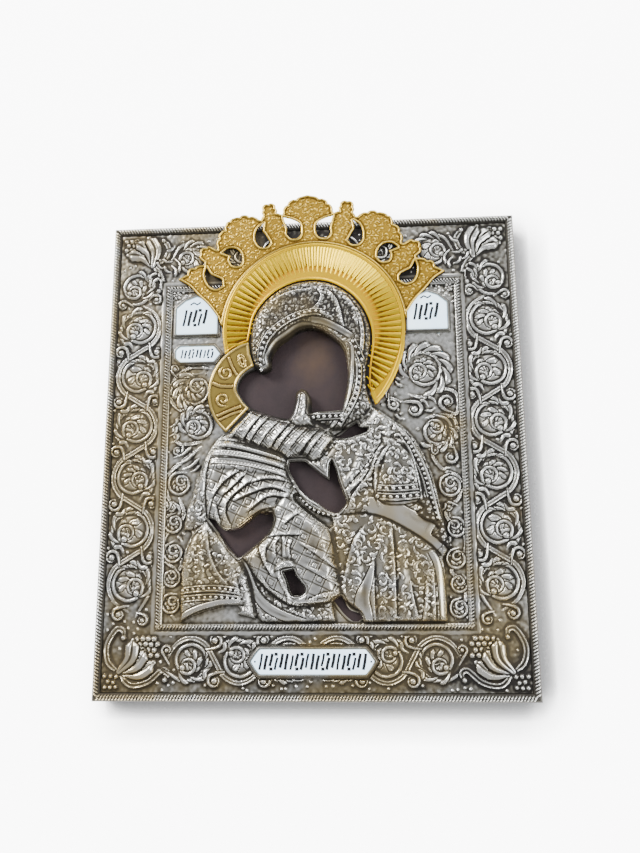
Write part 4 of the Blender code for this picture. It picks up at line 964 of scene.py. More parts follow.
# the draped figures: each cloth has an outline, a rise, a rolled edge and its folds
cloths = {
    "sideMantle": {
        "outline": [(-65, 11), (-72, 4), (-78, -6), (-84, -20), (-88, -35), (-92, -48), (-93, -60),
            (-83, -60), (-74, -52), (-74, -20), (-68, -4)],
        "rise": 4.8, "roll": 5.0,
        "swells": [([(-73, -4), (-79, -20), (-82, -38), (-84, -53)], 4, 1.6)],
        "pleats": [([(-70, 4), (-76, -12), (-78, -30), (-77, -50)], 4, 1.0)],
    },
    "mantle": {
        "outline": [(46, 29), (52, 25), (60, 19), (68, 13), (75, 5), (80, -4), (85, -15), (89, -28),
            (92, -42), (94, -55), (97, -74), (92, -81), (84, -74.5), (69.5, -64), (51.5, -54.5), (38, -51),
            (22, -52), (8, -50), (-4, -42), (-13, -29), (-17, -18), (-12, -9), (4, -8), (16, 4), (28, 12),
            (38, 19)],
        "rise": 8.6, "roll": 8.0,
        "swells": [([(66, 6), (76, -9), (84, -26), (88, -44), (91, -62)], 3.6, 1.6),
            ([(50, 24), (55, 12), (54, -2), (47, -14), (37, -26), (26, -34)], 4.2, 1.6),
            ([(36, -4), (32, -18), (24, -28)], 3.4, 1.2), ([(34, 6), (42, 2), (45, -8)], 3, 1.0)],
        "pleats": [([(48, -44), (45, -28), (48, -12), (55, -2), (63, 2)], 5, 1.6),
            ([(62, 4), (70, -2), (75, -16), (78, -32), (79, -45)], 5, 1.5),
            ([(58, 18), (70, 6), (79, -8), (85, -26), (89, -46), (94, -66)], 3.5, 1.2),
            ([(26, -46), (30, -36), (40, -24), (46, -10)], 4.5, 1.5),
            ([(80, -45), (74, -50), (84, -54), (88, -57)], 4, 1.0),
            ([(88, -57), (84, -65), (92, -70), (96, -74)], 4, 1.0)],
    },
    "cap": {
        "outline": [(49, 8), (58, 7), (66, 2), (73, -7), (78, -20), (81, -36), (79, -43), (70, -45),
            (58, -46), (46, -43), (43, -36), (46, -22), (50, -8)],
        "rise": 10.6, "roll": 5.0,
        "swells": [([(54, -6), (57, -20), (56, -34)], 4, 0.7), ([(66, -6), (70, -20), (71, -34)], 4, 0.7)],
        "pleats": [([(70, -4), (74, -18), (76, -34)], 3, 0.9)],
    },
    "turnOne": {
        "outline": [(75, -41), (84, -39), (88, -52), (89, -58), (81, -55.5), (74, -51), (79, -47)],
        "rise": 12.4, "roll": 1.6, "swells": [], "pleats": [],
    },
    "turnTwo": {
        "outline": [(84, -56), (93, -54), (96, -68), (97.5, -76), (91, -71.5), (83.5, -65), (89, -61)],
        "rise": 11.6, "roll": 1.6, "swells": [], "pleats": [],
    },
    "skirt": {
        "outline": [(15, -48), (34, -46), (52, -50), (70, -60), (85, -70), (92, -80), (94, -92),
            (94, -124.5), (75, -124.5), (56, -124.5), (36, -124.5), (32, -117), (22, -110), (16, -107),
            (18, -90), (15, -68)],
        "rise": 6.2, "roll": 6.0,
        "swells": [([(51, -62), (50, -92), (50, -121)], 5.5, 1.5),
            ([(64, -70), (64, -98), (65, -121)], 5.0, 1.5), ([(30, -62), (32, -84), (30, -106)], 6, 1.4)],
        "pleats": [([(44, -84), (43.5, -100), (44, -122)], 7, 1.5),
            ([(57, -60), (58.5, -90), (58.5, -122)], 7, 1.6), ([(69, -97), (71, -110), (74, -123)], 5, 1.3),
            ([(77, -123), (79, -110), (80, -97)], 5, 1.3),
            ([(85, -92), (85.5, -108), (85.5, -123)], 4, 1.2),
            ([(23, -94), (26, -80), (30, -68), (36, -60)], 6, 1.4)],
    },
    "sideDrape": {
        "outline": [(-76, -52), (-85, -60), (-92, -75), (-94, -90), (-94, -124.5), (-85, -120),
            (-75, -116.5), (-62, -113.5), (-50, -113), (-53, -119), (-40, -122.5), (-43, -105), (-46, -92),
            (-53, -80), (-64, -66)],
        "rise": 6.0, "roll": 6.0,
        "swells": [([(-76, -60), (-80, -82), (-78, -104)], 5, 1.5),
            ([(-64, -72), (-58, -88), (-54, -104)], 4.5, 1.4),
            ([(-84, -68), (-90, -88), (-89, -104)], 3.5, 1.0)],
        "pleats": [([(-75, -62), (-73, -76), (-68, -88), (-60, -98)], 5, 1.5),
            ([(-80, -58), (-88, -66), (-91, -76)], 4, 1.2),
            ([(-53, -96), (-51, -106), (-50, -112)], 4, 1.2)],
    },
    "underCloth": {
        "outline": [(-53, -79), (-46, -92), (-43, -105), (-39, -121), (-35, -124.5), (-6, -124.5),
            (16, -124.5), (14, -110), (-22, -108), (-36, -96), (-46, -82)],
        "rise": 3.8, "roll": 4.0,
        "swells": [([(-49, -83), (-41, -100), (-30, -114), (-12, -120)], 3, 0.8)],
        "pleats": [([(-48, -82), (-42, -94), (-36, -106), (-22, -116), (-8, -122)], 3, 0.9)],
    },
    "hood": {
        "outline": [(-37, 57), (-41.8, 60.6), (-45, 70), (-46, 85), (-43, 100.4), (-35.8, 111.7),
            (-25.5, 120.9), (-12.2, 127), (0, 128.5), (12.2, 127), (24.5, 121), (34.8, 111.6), (41.9, 99.3),
            (45, 88), (44.9, 75), (42, 60), (41.3, 45), (43, 37), (45, 30), (36, 19), (22, 13), (8, 14),
            (-2, 22), (-20, 50)],
        "rise": 10.5, "roll": 11.0,
        "swells": [([(-35, 60), (-37, 72), (-32, 82), (-22, 91), (-8, 98), (8, 100), (17, 95)], 6, 2.2),
            ([(27, 80), (32, 70), (35, 55), (34, 38), (28, 24), (18, 16)], 4, 1.4)],
        "pleats": [([(14, 118), (20, 110), (23, 100), (25, 90)], 5, 1.7),
            ([(28, 113), (34, 103), (36, 90)], 4.5, 1.5),
            ([(-8, 96), (2, 104), (8, 112), (6, 120)], 4, 1.0), ([(38, 96), (40, 82), (38, 66)], 3.5, 1.1),
            ([(-30, 112), (-16, 118), (0, 120)], 4, 0.9)],
    },
    "torso": {
        "outline": [(-60, 11), (-68, 6), (-76, -5), (-79, -25), (-78, -46), (-72, -55), (-64, -61),
            (-52, -60), (-40, -51), (-30, -47), (-20, -42), (-13, -36), (-15, -24), (-17, -13), (-22, -6),
            (-40, 2)],
        "rise": 9.0, "roll": 9.0,
        "swells": [([(-68, 2), (-45, -2), (-20, -9)], 3.2, 1.9),
            ([(-71, -6), (-45, -9), (-19, -15)], 3.2, 1.8),
            ([(-72, -12.5), (-46, -15.5), (-18, -21)], 3.2, 1.8)],
        "pleats": [([(-44, -25), (-59, -38), (-62, -47), (-58.5, -57)], 4.5, 1.9),
            ([(-17, -25.5), (-32, -23.5), (-44, -26.5)], 3.5, 1.5),
            ([(-16.5, -33.5), (-28.8, -30), (-41, -33), (-55, -39)], 4.5, 1.8),
            ([(-16, -37.5), (-31, -36.5), (-46, -47)], 4.0, 1.6),
            ([(-21, -43), (-35, -45.5), (-45, -51)], 3.5, 1.4), ([(-72, -38), (-75.5, -52)], 3.0, 1.3),
            ([(-69, -42), (-66, -56)], 3.0, 1.3), ([(-53, -18), (-63.5, -25.5), (-72, -37)], 4.0, 1.7),
            ([(-48, -20), (-57.5, -29.5), (-64, -35)], 3.5, 1.5)],
    },
    "legs": {
        "outline": [(-18, -28), (-14, -37), (-5, -46), (3, -52), (10, -57), (14, -63), (16, -72), (18, -85),
            (20, -97), (22, -107), (15, -110), (8, -112.5), (-4, -114.5), (-16, -113.5), (-28, -106),
            (-38, -97), (-47, -84), (-51, -79), (-42, -71), (-34, -64), (-28, -53), (-30, -46)],
        "rise": 10.0, "roll": 9.0,
        "swells": [([(-10, -46), (4, -62), (10, -84), (13, -104)], 6, 1.0)],
        "pleats": [([(-28, -92), (-34, -82), (-38, -70)], 5, 1.5),
            ([(-20, -80), (-20, -72), (-20, -66)], 3.5, 1.0), ([(-5, -46), (-14, -52), (-20, -57)], 4, 1.2),
            ([(-8, -64), (-22, -64), (-32, -65)], 4, 1.2), ([(18, -88), (4, -78), (-8, -70)], 4, 1.0),
            ([(20, -100), (6, -92), (-6, -86)], 3.6, 1.0),
            ([(-17, -113), (-17, -106), (-21, -98), (-24, -92)], 3, 1.2),
            ([(14, -110), (2, -111), (-10, -111)], 3, 1.0), ([(-23, -66), (-26, -72), (-25, -80)], 3, 1.1),
            ([(-31, -69), (-33, -76), (-32, -84)], 3, 1.1),
            ([(-14, -68), (-16, -74), (-15, -80)], 2.6, 1.0),
            ([(-36, -92), (-30, -101), (-22, -106)], 3, 1.1),
            ([(-3, -110), (6, -106), (16, -104)], 3, 0.9)],
    },
    "sleeve": {
        "outline": [(-62, 7), (-58, 14.5), (-50, 21.5), (-45, 27.5), (-38, 27), (-30, 24), (-22, 20.5),
            (-14, 17.5), (-5, 14), (2, 13), (10, 12), (16, 8), (19, 6), (15, -1), (10, -9), (6, -12),
            (0, -12.5), (-4, -8), (-10, -7.5), (-17, -10), (-21, -7), (-30, -4), (-40, 0), (-50, 4)],
        "rise": 13.0, "roll": 10.5, "swells": [], "pleats": [],
    },
    "footCap": {
        "outline": [(-28.5, -92.5), (-27, -86), (-22.5, -81.5), (-16.5, -80), (-11.5, -82), (-9.8, -86),
            (-11, -88.6), (-16, -88.4), (-21, -89.4), (-25, -91.5)],
        "rise": 12.0, "roll": 3.6, "swells": [], "pleats": [],
    },
    "handCuff": {
        "outline": [(-17, 19), (-15, 24), (-12, 33), (-11, 40), (-7, 43.2), (-3, 41), (0, 35), (0, 25),
            (3, 14), (-12, 12)],
        "rise": 11.0, "roll": 4.5, "swells": [],
        "pleats": [([(-4, 38), (-4, 28), (-6, 20)], 2.5, 0.8), ([(-8, 39), (-10, 28), (-12, 20)], 2.0, 0.7)],
    },
}
for k in range(10):  # the sleeve's gathers lean the same way, a little shorter each time
    foot = -60 + 7.2 * k + (0.0, 1.3, -0.9)[k % 3]
    drop = 1.5 * k
    line = [(foot + 17, 27 - drop), (foot + 8, 15 - drop), (foot, 5 - drop)]
    cloths["sleeve"]["pleats"].append((line, 5, (1.0, 1.7, 1.3)[k % 3]))

windows = [
    [(-55, 44), (-53, 52), (-48, 57), (-41, 60), (-38, 57), (-34, 57), (-30, 60), (-30, 68), (-25, 77),
        (-17, 83), (-8, 89), (2, 90), (10, 87), (22, 77), (25.5, 70), (27.5, 56), (27, 45), (25, 35),
        (23, 26), (0, 25), (0, 35), (-3, 41), (-7, 43), (-11, 40), (-12, 33), (-14, 25), (-17, 21),
        (-30, 24), (-45, 30), (-50, 35)],
    [(16, 6), (22, 9.5), (28, 14), (34, 17.5), (35, 13.8), (41.5, 13), (41, 10.5), (36, 8.5), (28, 6)],
    [(-16, -11), (-5, -11), (0, -15), (7, -21), (13, -25), (13.5, -14), (15, -11), (18, -18), (20, -27),
        (23, -35), (25, -41), (22, -46), (18, -49), (12, -47), (5, -42), (-3, -37), (-9, -31),
        (-16.5, -17)],
    [(-76, -51), (-70, -53), (-66, -58), (-60, -60.5), (-52, -59), (-44, -53), (-38, -48), (-34, -49),
        (-29, -48), (-28, -53), (-30, -60), (-34, -65), (-42, -72), (-53, -80), (-60, -72), (-68, -61)],
    [(-20, -90), (-16, -89.3), (-12.8, -88.6), (-11.2, -92.5), (-7.6, -97), (-4.8, -101), (-5.4, -104.2),
        (-9, -106.2), (-13.4, -106), (-15.4, -103), (-16.6, -98), (-18.4, -93.5)],
    [(15, -110), (21, -107), (26, -116), (33, -119), (35, -122), (32, -124.3), (28, -124), (22, -119)],
]


def softened(loop, perSpan=4):
    # rounds a loop between its points, leaving its sharp corners sharp
    loop = np.array(loop, float)
    into = loop - np.roll(loop, 1, 0)
    out = np.roll(loop, -1, 0) - loop
    bend = np.abs(np.arctan2(into[:, 0] * out[:, 1] - into[:, 1] * out[:, 0], (into * out).sum(1)))
    sharp = bend > math.radians(62)
    curve = []
    for i in range(len(loop)):
        j = (i + 1) % len(loop)
        b, c = loop[i], loop[j]
        a = 2 * b - c if sharp[i] else loop[i - 1]
        d = 2 * c - b if sharp[j] else loop[(j + 1) % len(loop)]
        a = b + (a - b) * min(1, np.hypot(*(c - b)) / np.hypot(*(a - b)))
        d = c + (d - c) * min(1, np.hypot(*(c - b)) / np.hypot(*(d - c)))
        curve += [catmullRom(a, b, c, d, t) for t in np.arange(perSpan) / perSpan]
    return np.array(curve)


# chased patterns on the cloths

def lattice(sheet, layer, mask, centre, angle, pitch, s, both=False, squash=1.0):
    # small cushions between crossing lines, every other one (or every one) with a square cut in it
    rows, columns = np.nonzero(mask)
    x, y = sheet["xs"][columns] - centre[0], sheet["ys"][rows] - centre[1]
    turn = math.radians(angle)
    u = (x * math.cos(turn) + y * math.sin(turn)) / pitch
    v = (-x * math.sin(turn) + y * math.cos(turn)) / (pitch * squash)
    u, v = u + s["wander"] * np.sin(v * 1.3 + 1), v + s["wander"] * np.sin(u * 1.1)
    across, up = np.abs((u + 0.5) % 1 - 0.5), np.abs((v + 0.5) % 1 - 0.5)
    line = np.minimum(0.5 - across, 0.5 - up) * pitch
    out = np.maximum(across, up) * pitch
    chosen = ((np.floor(u + 0.5) + np.floor(v + 0.5)) % 2 == 0) | both
    height = s["cushion"] * (1 - 4 * out ** 2 / pitch ** 2) - s["depth"] * np.exp(-(line / s["width"]) ** 2)
    height -= s["square"] * np.exp(-((out - s["inner"] * pitch) / s["width"]) ** 2) * chosen
    layer[rows, columns] += height


swirlSettings = {
    "rowPitch": 0.8,
    "wander": 0.2,  # how far a swirl may stand from its place, over the pitch
    "curl": (0.22, 0.3),  # least and greatest radius, over the pitch
    "reach": (0.4, 0.56),
    "turn": 14,
    "sweep": (48, 84),
    "fatness": (1.1, 0.75, 0.95, 0.65),
}


def arabesque(sheet, layer, mask, pitch, seed, rise=0.6, stem=0.8, drop=1.7):
    # swirls set close over a cloth: a curl with a fat end inside and curved drops chasing each other round it
    s = swirlSettings
    chance = np.random.default_rng(seed)
    rows, columns = np.nonzero(mask)
    low = np.array([sheet["xs"][columns.min()], sheet["ys"][rows.min()]])
    high = np.array([sheet["xs"][columns.max()], sheet["ys"][rows.max()]])
    pattern = np.zeros(sheet["shape"])
    for row, y in enumerate(np.arange(low[1] - 2, high[1] + 2, pitch * s["rowPitch"])):
        for x in np.arange(low[0] - 2 + (row % 2) * pitch / 2, high[0] + 2, pitch):
            spot = np.array([x, y]) + chance.uniform(-s["wander"], s["wander"], 2) * pitch
            turn, hand = chance.uniform(0, 360), chance.choice((-1, 1))
            size = pitch * chance.uniform(*s["curl"])
            for k, fatness in enumerate(s["fatness"]):
                first = math.radians(turn + 90 * k + chance.uniform(-s["turn"], s["turn"]))
                sweep = hand * math.radians(chance.uniform(*s["sweep"]))
                outer = pitch * chance.uniform(*s["reach"])
                drops = [around(spot, outer + (size * 0.95 - outer) * share ** 1.4, first + share * sweep)
                         for share in (0.0, 0.35, 0.7, 1.0)]
                ridge(sheet, pattern, smooth(drops, 4), drop * fatness, rise, "round", "comma", 0.4)
            curl = coil(spot, 0.35 * size, size, turn, 0.8 * hand, 30)
            ridge(sheet, pattern, curl, stem + 0.35, rise, "round", "comma", 0.4)
    layer[mask] += pattern[mask]


def gravel(sheet, layer, mask, pitch, seed, radius, rise):
    # a worn ground of small beads
    chance = np.random.default_rng(seed)
    rows, columns = np.nonzero(mask)
    pattern = np.zeros(sheet["shape"])
    for y in np.arange(sheet["ys"][rows.min()], sheet["ys"][rows.max()], pitch * 0.86):
        for x in np.arange(sheet["xs"][columns.min()], sheet["xs"][columns.max()], pitch):
            knob(sheet, pattern, np.array([x, y]) + chance.uniform(-0.35, 0.35, 2) * pitch,
                 radius * chance.uniform(0.7, 1.2), rise * chance.uniform(0.6, 1.1), 0.2)
    layer[mask] += pattern[mask]


stripTints = {"braid": 0.34, "dots": -0.03, "plain": -0.08, "lining": -0.27, "wedge": -0.06}


def strip(sheet, layer, shade, mask, path, half, rise, kind):
    # a smooth strip that wipes the pattern away; "braid" has a cord along each edge of a dark bed, "dots" is
    # punched, "wedge" widens along its line and "seam" only draws its two edges
    area, gap, along, _, length = trace(sheet, path, half + 0.8)
    if kind == "wedge":
        half = half * np.clip(0.25 + along / length, 0, 1)
    here = mask[area] & (gap < half + 0.7)
    level = rise * np.clip((half - gap) / 0.6, 0, 1) - 0.55 * np.exp(-((gap - half - 0.25) / 0.42) ** 2)
    if kind == "braid":
        level += 0.75 * np.exp(-((gap - half + 0.5) / 0.42) ** 2) - 0.35 * (gap < half - 1.0)
    elif kind == "dots":
        level += 0.32 * np.clip(np.cos(along * 2.6) * np.cos(gap * 2.6), 0, 1) * (gap < half - 0.6)
    elif kind == "seam":
        level = layer[area] - 0.7 * np.exp(-((gap - half) / 0.45) ** 2)
    fade = np.clip(np.minimum(along, length - along) / 1.2, 0, 1)
    layer[area] = np.where(here, layer[area] + (level - layer[area]) * fade, layer[area])
    if kind == "seam":
        tint = 0.2 * np.exp(-((gap - half) / 0.6) ** 2)
    else:
        tint = stripTints[kind] * (gap < half - 0.9 * (kind == "braid"))
    shade[area] = np.where(here & (gap < half), tint * fade, shade[area])


clothSettings = {
    "spacing": 0.55,
    "lips": (4.2, 1.8, 2.2, 1.8, 2.0, 1.8),
    "lattice": {"wander": 0.05, "inner": 0.25, "depth": 0.27, "square": 0.42, "width": 0.45, "cushion": 0.25},
    "darker": {"hood": 0.25, "cap": 0.03, "turnOne": 0.5, "turnTwo": 0.5},
    "gravels": {
        # cloth: pitch, seed, radius and rise of the beads
        "hood": (2.5, 71, 0.85, 0.22), "turnOne": (3.4, 83, 1.15, 0.7), "turnTwo": (3.4, 83, 1.15, 0.7),
    },
    "foldShare": 0.6,  # how much the folds count for the patina
    "lipRise": 0.6,
    "lipTint": -0.04,
    "hoodLip": (1.6, (-6.0, 6.0), 0.24),  # width at the right, where it changes, tint at the left
    "rises": {"hood": 0.3, "sideDrape": 0.5},
    "patterns": {
        # cloth: arabesque pitch and seed
        "hood": (10.5, 11), "mantle": (12.4, 23), "skirt": (13.6, 37), "sideDrape": (11.4, 41),
        "sideMantle": (10.5, 43), "underCloth": (9.4, 47), "cap": (11.6, 53),
    },
    "lattices": {
        # cloth: centre, angle, pitch, a square in each, height over width
        "sleeve": ((-20, 5), 50, 7.0, True, 1.0), "torso": ((-53, -21), -24, 7.4, False, 1.0),
        "legs": ((-9, -55), -25, 7.7, False, 1.0), "handCuff": ((-6, 28), 45, 3.8, False, 1.3),
        "footCap": ((-18, -85), 30, 4.6, False, 1.0),
    },
}

bands = {
    # cloth: line, half width, kind
    "hood": [([(-37, 57), (-36.5, 70), (-33, 80), (-26, 88.5), (-16, 95.5), (-6, 99.5), (4, 101), (9, 100)],
        3.0, "braid"), ([(31, 78), (34.5, 71), (38, 63)], 2.8, "braid"),
        ([(36, 60), (35.5, 46), (30.5, 30), (20, 14)], 2.2, "braid"),
        ([(31, 74), (31, 60), (30, 48), (27, 34), (22, 22), (14, 13)], 1.4, "plain"),
        ([(-2, 21), (11, 21), (24, 21)], 2.6, "braid"),
        ([(0, 95), (8, 94), (16, 90.5), (24, 86), (31, 81)], 2.6, "plain"),
        ([(34, 104), (37.5, 94), (39, 82), (38, 72)], 1.5, "braid")],
    "mantle": [([(66, 8), (74, -6), (81, -22), (86, -42), (90, -58), (95, -73)], 3.0, "braid"),
        ([(-15, -17), (-12, -31), (-3, -43), (8, -49), (22, -51)], 2.8, "braid"),
        ([(22, -38), (34, -25), (44, -13), (55, 3)], 2.3, "seam"),
        ([(40, -46), (56, -49), (68, -55), (80, -62), (92, -72)], 8.4, "lining")],
    "cap": [([(42, -37.2), (60, -38.5), (82, -37)], 2.6, "braid"),
        ([(42, -31.2), (60, -32.5), (82, -31)], 2.4, "braid"),
        ([(42, -42), (60, -43.5), (82, -41)], 1.3, "plain")],
    "skirt": [([(43, -86), (39, -98), (35, -110), (37, -126)], 6.0, "wedge"),
        ([(84, -76), (88, -85), (90, -97), (91, -110), (91.4, -126)], 2.6, "lining")],
    "sideDrape": [([(-96, -103), (-82, -101.5), (-68, -101), (-52, -103)], 2.4, "braid"),
        ([(-96, -109), (-82, -107.5), (-68, -107), (-50, -109)], 2.4, "braid"),
        ([(-95, -122), (-85, -116.5), (-75, -113), (-62, -110.5), (-48, -111)], 2.0, "plain")],
    "underCloth": [([(-52, -79), (-46.5, -92), (-40.5, -104), (-31, -114.5), (-18, -121), (-5, -126)], 3.4,
        "plain")],
    "torso": [([(-70, 3), (-55, 1), (-38, -3.5), (-18, -10)], 2.3, "dots"),
        ([(-73, -3.5), (-56, -5), (-38, -9), (-17, -15)], 2.3, "dots"),
        ([(-74, -10), (-56, -11), (-38, -14.5), (-17, -21)], 2.3, "dots")],
}


def chasing(sheet, owner, names, s):
    # the pattern on every cloth, and how much darker its parts are
    layer, shade = np.zeros(sheet["shape"]), np.zeros(sheet["shape"])
    mask = {name: owner == k for k, name in enumerate(names)}
    for name, (pitch, seed) in s["patterns"].items():
        arabesque(sheet, layer, mask[name], pitch, seed, s["rises"].get(name, 0.6))
        shade[mask[name] & (layer < 0.1)] = 0.04
    for name, beads in s["gravels"].items():
        gravel(sheet, layer, mask[name], *beads)
    for name, (centre, angle, pitch, both, squash) in s["lattices"].items():
        lattice(sheet, layer, mask[name], centre, angle, pitch, s["lattice"], both, squash)
    for name, lines in bands.items():
        for path, half, kind in lines:
            strip(sheet, layer, shade, mask[name], smooth(path, 5), half, 0.35, kind)
    for name, more in s["darker"].items():
        shade[mask[name]] += more
    return layer, blurred(shade, 0.5 / sheet["step"])


# the cover

def clothHeight(sheet, cloth):
    # the height of a cloth, its creases and where it lies
    loop = softened(cloth["outline"])
    reach = cloth["roll"] + 1.0
    depth = edgeDistance(sheet, [loop], reach)
    edge = 0.25 + 0.75 * np.sqrt(1 - (1 - np.clip(depth / cloth["roll"], 0, 1)) ** 2) ** 1.2
    rolls, creases = np.zeros(sheet["shape"]), np.zeros(sheet["shape"])
    for path, half, rise in cloth["swells"]:
        swell(sheet, rolls, smooth(path, 5), half, rise)
    for path, width, rise in cloth["pleats"]:
        pleat(sheet, creases, smooth(path, 5), width, rise)
    height = fieldGround + cloth["rise"] * edge + (rolls + creases) * np.clip(edge * 1.5, 0, 1)
    return height, creases, insideMask(sheet, loop)


groundSettings = {
    # distances from the inner moulding's line: above 0 on the border and below it on the field
    "borderFrom": 6.2,
    "fieldFrom": -2.6,
    "moulding": (2.1, 0.5, 0.6),  # half width, rise, and how far its foot lies under the border
    "fillet": (4.2, 1.6, 0.9, 0.3),  # middle, half width, slope and rise of the flat band beside it
    "borderPearls": (4.4, 0.95, 61, 0.4),  # pitch, radius, seed, share
    "fieldPearls": ((-107.0, 110.0), (108.0, 124.0), 2.3, 0.75, 67),
    "rosettes": ((-104.5, 121.5), (105.0, 121.5)),
    "rosetteRadius": 2.3,
    "ledge": 1.2,
}


def baseHeights(sheet):
    # the flat grounds with their scrolls, the inner moulding, and the ledges for the gilt and the plaques
    s = groundSettings
    gridX, gridY = np.meshgrid(sheet["xs"], sheet["ys"])
    offField = np.maximum(np.maximum(fieldLow[0] - gridX, gridX - fieldHigh[0]),
                          np.maximum(fieldLow[1] - gridY, gridY - fieldHigh[1]))
    ground = np.where(offField < 0, fieldGround, borderGround)
    border = borderOrnament(sheet, scrollSettings)
    border[offField < s["borderFrom"]] = 0.0
    pearls(sheet, border, coverLow[:2] + 3, coverHigh[:2] - 3, *s["borderPearls"])
    field = groundOrnament(sheet, scrollSettings)
    for centre in s["rosettes"]:
        for k in range(6):
            knob(sheet, field, around(centre, s["rosetteRadius"], math.radians(60 * k + 15)), 1.15, 1.2)
        knob(sheet, field, centre, 1.0, 1.5)
    pearls(sheet, field, *s["fieldPearls"])
    ornament = np.where(offField > s["borderFrom"], border, np.where(offField < s["fieldFrom"], field, 0))
    half, rise, sunken = s["moulding"]
    bar = rise * np.sqrt(np.clip(1 - (offField / half) ** 2, 0, 1)) + borderGround - sunken - ground
    middle, wide, slope, tall = s["fillet"]
    flat = tall * np.clip((wide - np.abs(offField - middle)) / slope, 0, 1)
    ornament = np.maximum(ornament, np.maximum(flat, bar * (np.abs(offField) < half)))
    for loop in beds:
        ornament[insideMask(sheet, loop)] = 0
    for centre, radius in ((haloCentre, haloRadius), (smallCentre, smallRadius)):
        reach = radius - s["ledge"] - np.hypot(gridX - centre[0], gridY - centre[1])
        step = np.clip(reach / s["ledge"], 0, 1)
        ground = ground + (seat - ground) * step
        ornament *= np.clip(1 - step * 3, 0, 1)
    underCrown = insideMask(sheet, grown(crownLoop, 0.8))
    ornament = np.minimum(ornament, np.where(underCrown, seat - ground - 0.1, np.inf))
    return ground, ornament


dirtAndShadeSettings = {
    # the foot and the top corners are darker: part tarnish, part painted shade
    "foot": (0.19, -156, 22),  # amount, y and its spread
    "corners": [(0.18, 130, 60, 152, 40), (0.15, -120, 45, 150, 30)],  # amount, x, its spread, y, its spread
    "underCrown": 0.45,  # painted shade under the crown, which stands off the cloth
    "bare": -0.04,  # bare ground between the scrolls
    "bareField": -0.15,  # more on the field
    "field": ((1, 108), (-1, 125)),  # its middle and half its size, across and up
    "seams": 0.28,
    "seamCut": 0.25,
    "mattGrain": (5, 1.2, 0.06),  # seed, spread in grid steps and height of the uneven matting
}


def dirtAndShadeOf(sheet, s):
    # how much darker the grounds are from place to place: along the foot and in the top corners part tarnish,
    # part painted shade; under the crown painted shade
    x, y = sheet["xs"][None, :], sheet["ys"][:, None]
    amount, middle, spread = s["foot"]
    dirtAndShade = amount * np.exp(-((y - middle) / spread) ** 2) * (0.75 + x / 300)
    for amount, atX, spreadX, atY, spreadY in s["corners"]:
        dirtAndShade = dirtAndShade + amount * np.exp(-((x - atX) / spreadX) ** 2 - ((y - atY) / spreadY) ** 2)
    return dirtAndShade + s["underCrown"] * insideMask(sheet, crownLoop)


def laidCloths(sheet, top):
    # lays the cloths one over another, and says which cloth is seen where
    owner = np.full(sheet["shape"], -1)
    folds = np.zeros(sheet["shape"])
    for number, cloth in enumerate(cloths.values()):
        height, creases, within = clothHeight(sheet, cloth)
        over = within & (height > top)
        top, folds = np.where(over, height, top), np.where(over, creases, folds)
        owner[over] = number
    # narrow gaps between the cloths are filled nearly to their edges
    covered = (owner >= 0).astype(float)
    share = blurred(covered, 3.0 / sheet["step"])
    level = blurred(top * covered, 3.0 / sheet["step"]) / np.maximum(share, 1e-6) - 1.0
    gaps = np.clip((share - 0.56) / 0.12, 0, 1) * (level > top)
    return top + (level - top) * gaps, folds, owner


def turnedEdges(sheet, openings, top, pattern, shade, s):
    # the edges of the openings are turned down and left smooth
    low = fieldGround + s["lipRise"]
    for number, (opening, lip) in enumerate(zip(openings, s["lips"])):
        area, gap, *_ = trace(sheet, opening, lip + 1.6, closed=True)
        tint = s["lipTint"]
        if number == 0:  # the hood's turned edge is broad and dark on the left and narrow on the right
            narrow, between, darker = s["hoodLip"]
            lip = np.interp(sheet["xs"][area[1]], between, (lip, narrow))[None, :]
            tint = darker * (lip > 2.5) + tint
        edge = np.sqrt(1 - (1 - np.clip(gap / lip, 0, 1)) ** 2)
        top[area] = np.where(gap < lip, low + (top[area] - low) * (0.4 + 0.6 * edge), top[area])
        pattern[area] *= np.clip((gap - lip) / 0.5, 0, 1)
        pattern[area] -= 0.5 * np.exp(-((gap - lip) / 0.5) ** 2)
        shade[area] = np.where(gap < lip + 0.3, tint, shade[area])


def coverHeights(sheet, openings, s):
    print("scrolls")
    ground, ornament = baseHeights(sheet)
    print("cloths")
    top, folds, owner = laidCloths(sheet, ground + ornament)
    print("chasing")
    d = dirtAndShadeSettings
    names = list(cloths)
    change = (owner != blockShift(owner)).astype(float)
    near = np.clip(1 - blurred(change, 0.6 / sheet["step"]) * 3, 0, 1)
    pattern, shade = chasing(sheet, owner, names, s)
    pattern *= (owner >= 0) * near
    seams = np.clip(blurred(change, 0.4 / sheet["step"]) * 2.0, 0, 1)
    unworked = (owner < 0) * (ground < seat - 0.1)
    (middleX, reachX), (middleY, reachY) = d["field"]
    inField = np.abs(sheet["xs"][None, :] - middleX) < reachX
    inField = inField & (np.abs(sheet["ys"][:, None] - middleY) < reachY)
    shade += unworked * (ornament < 0.15) * (d["bare"] + d["bareField"] * inField) + d["seams"] * seams
    # darker foot and corners, part tarnish and part painted shade, and painted shade under the crown
    shade += dirtAndShadeOf(sheet, d) * (owner < 0)
    top -= d["seamCut"] * seams * (owner >= 0)
    seed, spread, height = d["mattGrain"]
    matt = blurred(np.random.default_rng(seed).normal(0, 1, sheet["shape"]), spread)
    pattern += height * matt / matt.std() * unworked * (ornament < 0.2)
    turnedEdges(sheet, openings, top, pattern, shade, s)
    detail = np.where(owner < 0, ornament, 0) + pattern + s["foldShare"] * folds
    return np.minimum(top + pattern, coverHigh[2]), detail, shade, owner, names


def blockShift(grid):
    # the grid moved one step, to find where it changes
    moved = grid.copy()
    moved[1:, 1:] = grid[:-1, :-1]
    return moved


